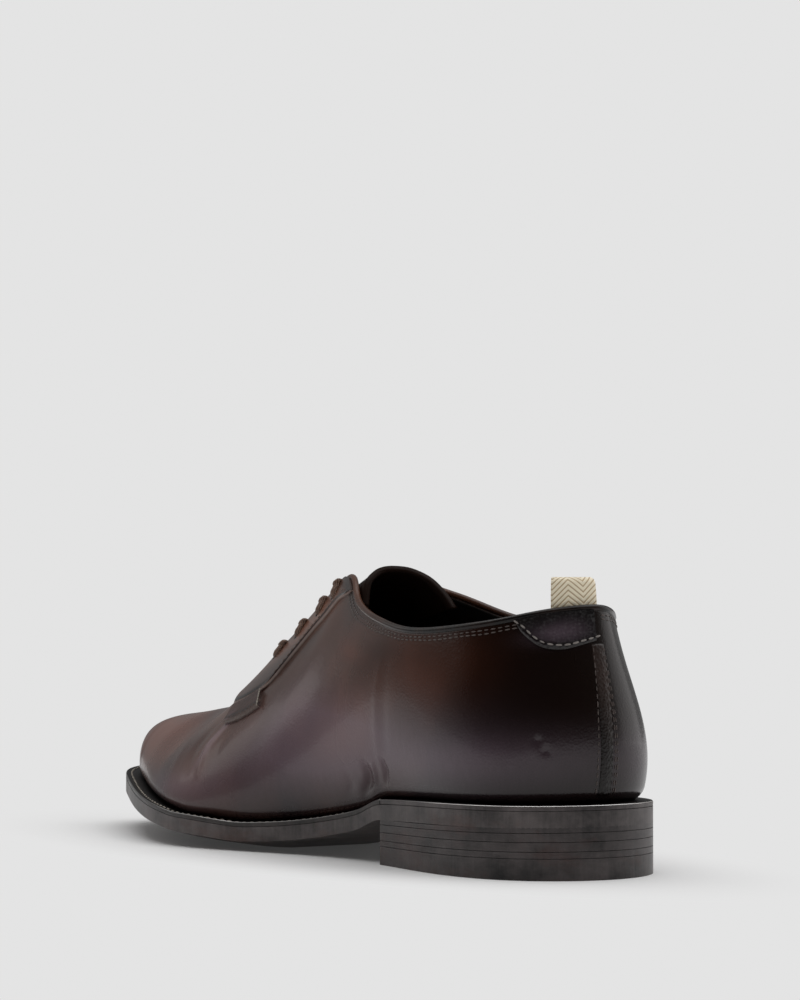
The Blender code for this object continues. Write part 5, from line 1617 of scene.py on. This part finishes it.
def on_upper(side, section, height, lift):
    """World points along places on the upper, over it by a distance."""
    line = skin(side, section, height, lift)
    return world_points(line)


def curved_row(side, places, lift, count):
    """World points along a smooth row through places on the upper."""
    fine = open_curve(places, count)
    return on_upper(side, fine[:, 0], fine[:, 1], lift)


DARK_THREAD = plain_look("dark_thread", (0.085, 0.066, 0.060), 0.45, 0.3)
GREY_THREAD = plain_look("grey_thread", (0.230, 0.205, 0.190), 0.45, 0.3)
BROWN_THREAD = plain_look("brown_thread", (0.110, 0.066, 0.048), 0.5, 0.3)
PALE_THREAD = plain_look("pale_thread", (0.30, 0.27, 0.23), 0.6, 0.3)
# How high the middle of a stitch lies over the leather it holds
SUNK = 0.05 * MM
ON_FACING = 1.45 * MM
ON_TAB = 0.85 * MM
ON_TACK = 1.55 * MM
# Rows along the collar: height share, and how far the row waves
COLLAR_LINES = ((0.975, 0.0), (0.955, 0.002))
# Rows beside the heel's seam: side and section
SEAM_LINES = (("lateral", 0.115), ("medial", 0.115), ("medial", 0.145))
TACK_LINE = ((7.50, 0.55), (7.66, 0.60), (7.84, 0.655))
WELT_LINE_INSET = 0.36 * WELT_REVEAL
WELT_LINE_START = 4 * MM

first, last = (share_on_outline(side, breast + WELT_LINE_START) for side in SIDES)
share = np.linspace(first, last, 500)
plan = outline_at(share) - outline_normal_at(share) * WELT_LINE_INSET
welt_row = world(plan[:, 0], plan[:, 1], welt_top(plan[:, 0], plan[:, 1]) + SUNK)
stitch_row("welt_stitches", [welt_row], 3.3 * MM, 2.2 * MM, 0.38 * MM, 3, PALE_THREAD, "sole_leather")

at = np.linspace(0.3, 6.1, 300)
collar_rows = [
    on_upper(side, at, level + wave * np.sin(at * 9), SUNK) for level, wave in COLLAR_LINES for side in SIDES
]
stitch_row("collar_stitches", collar_rows, 2.4 * MM, 1.8 * MM, 0.24 * MM, 5, DARK_THREAD, "upper_leather")

facing_line = np.array([row[1:] for row in FACING_LINE[1:7]]) + (0.0, 0.020)
patch_line = np.array([row[1:] for row in PATCH_LOWER]) + (0.0, 0.022)
facing_rows = [curved_row(side, facing_line, ON_FACING, 200) for side in SIDES]
patch_rows = [curved_row(side, patch_line, ON_FACING, 60) for side in SIDES]
stitch_row("facing_stitches", facing_rows, 2.2 * MM, 1.6 * MM, 0.22 * MM, 7, BROWN_THREAD, "upper_leather")
stitch_row("patch_stitches", patch_rows, 1.8 * MM, 1.3 * MM, 0.24 * MM, 9, BROWN_THREAD, "upper_leather")

tab_line = np.array([row[1:] for row in TAB_LOWER]) + (-0.03, 0.020)
tab_line[:, 1] = np.minimum(tab_line[:, 1], 0.985)
tab_row = curved_row("lateral", tab_line, ON_TAB, 120)
stitch_row("heel_tab_stitches", [tab_row], 2.5 * MM, 2.0 * MM, 0.30 * MM, 11, GREY_THREAD, "upper_leather")

tack = curved_row("lateral", TACK_LINE, ON_TACK, 30)
stitch_row("throat_tack", [tack], 1.5 * MM, 1.5 * MM, 0.32 * MM, 15, PALE_THREAD, "upper_leather")

run = np.linspace(0.06, 0.80, 120)
seam_rows = [on_upper(side, at * np.ones_like(run), run, SUNK) for side, at in SEAM_LINES]
stitch_row("back_seam_stitches", seam_rows, 2.3 * MM, 1.7 * MM, 0.23 * MM, 13, DARK_THREAD, "upper_leather")
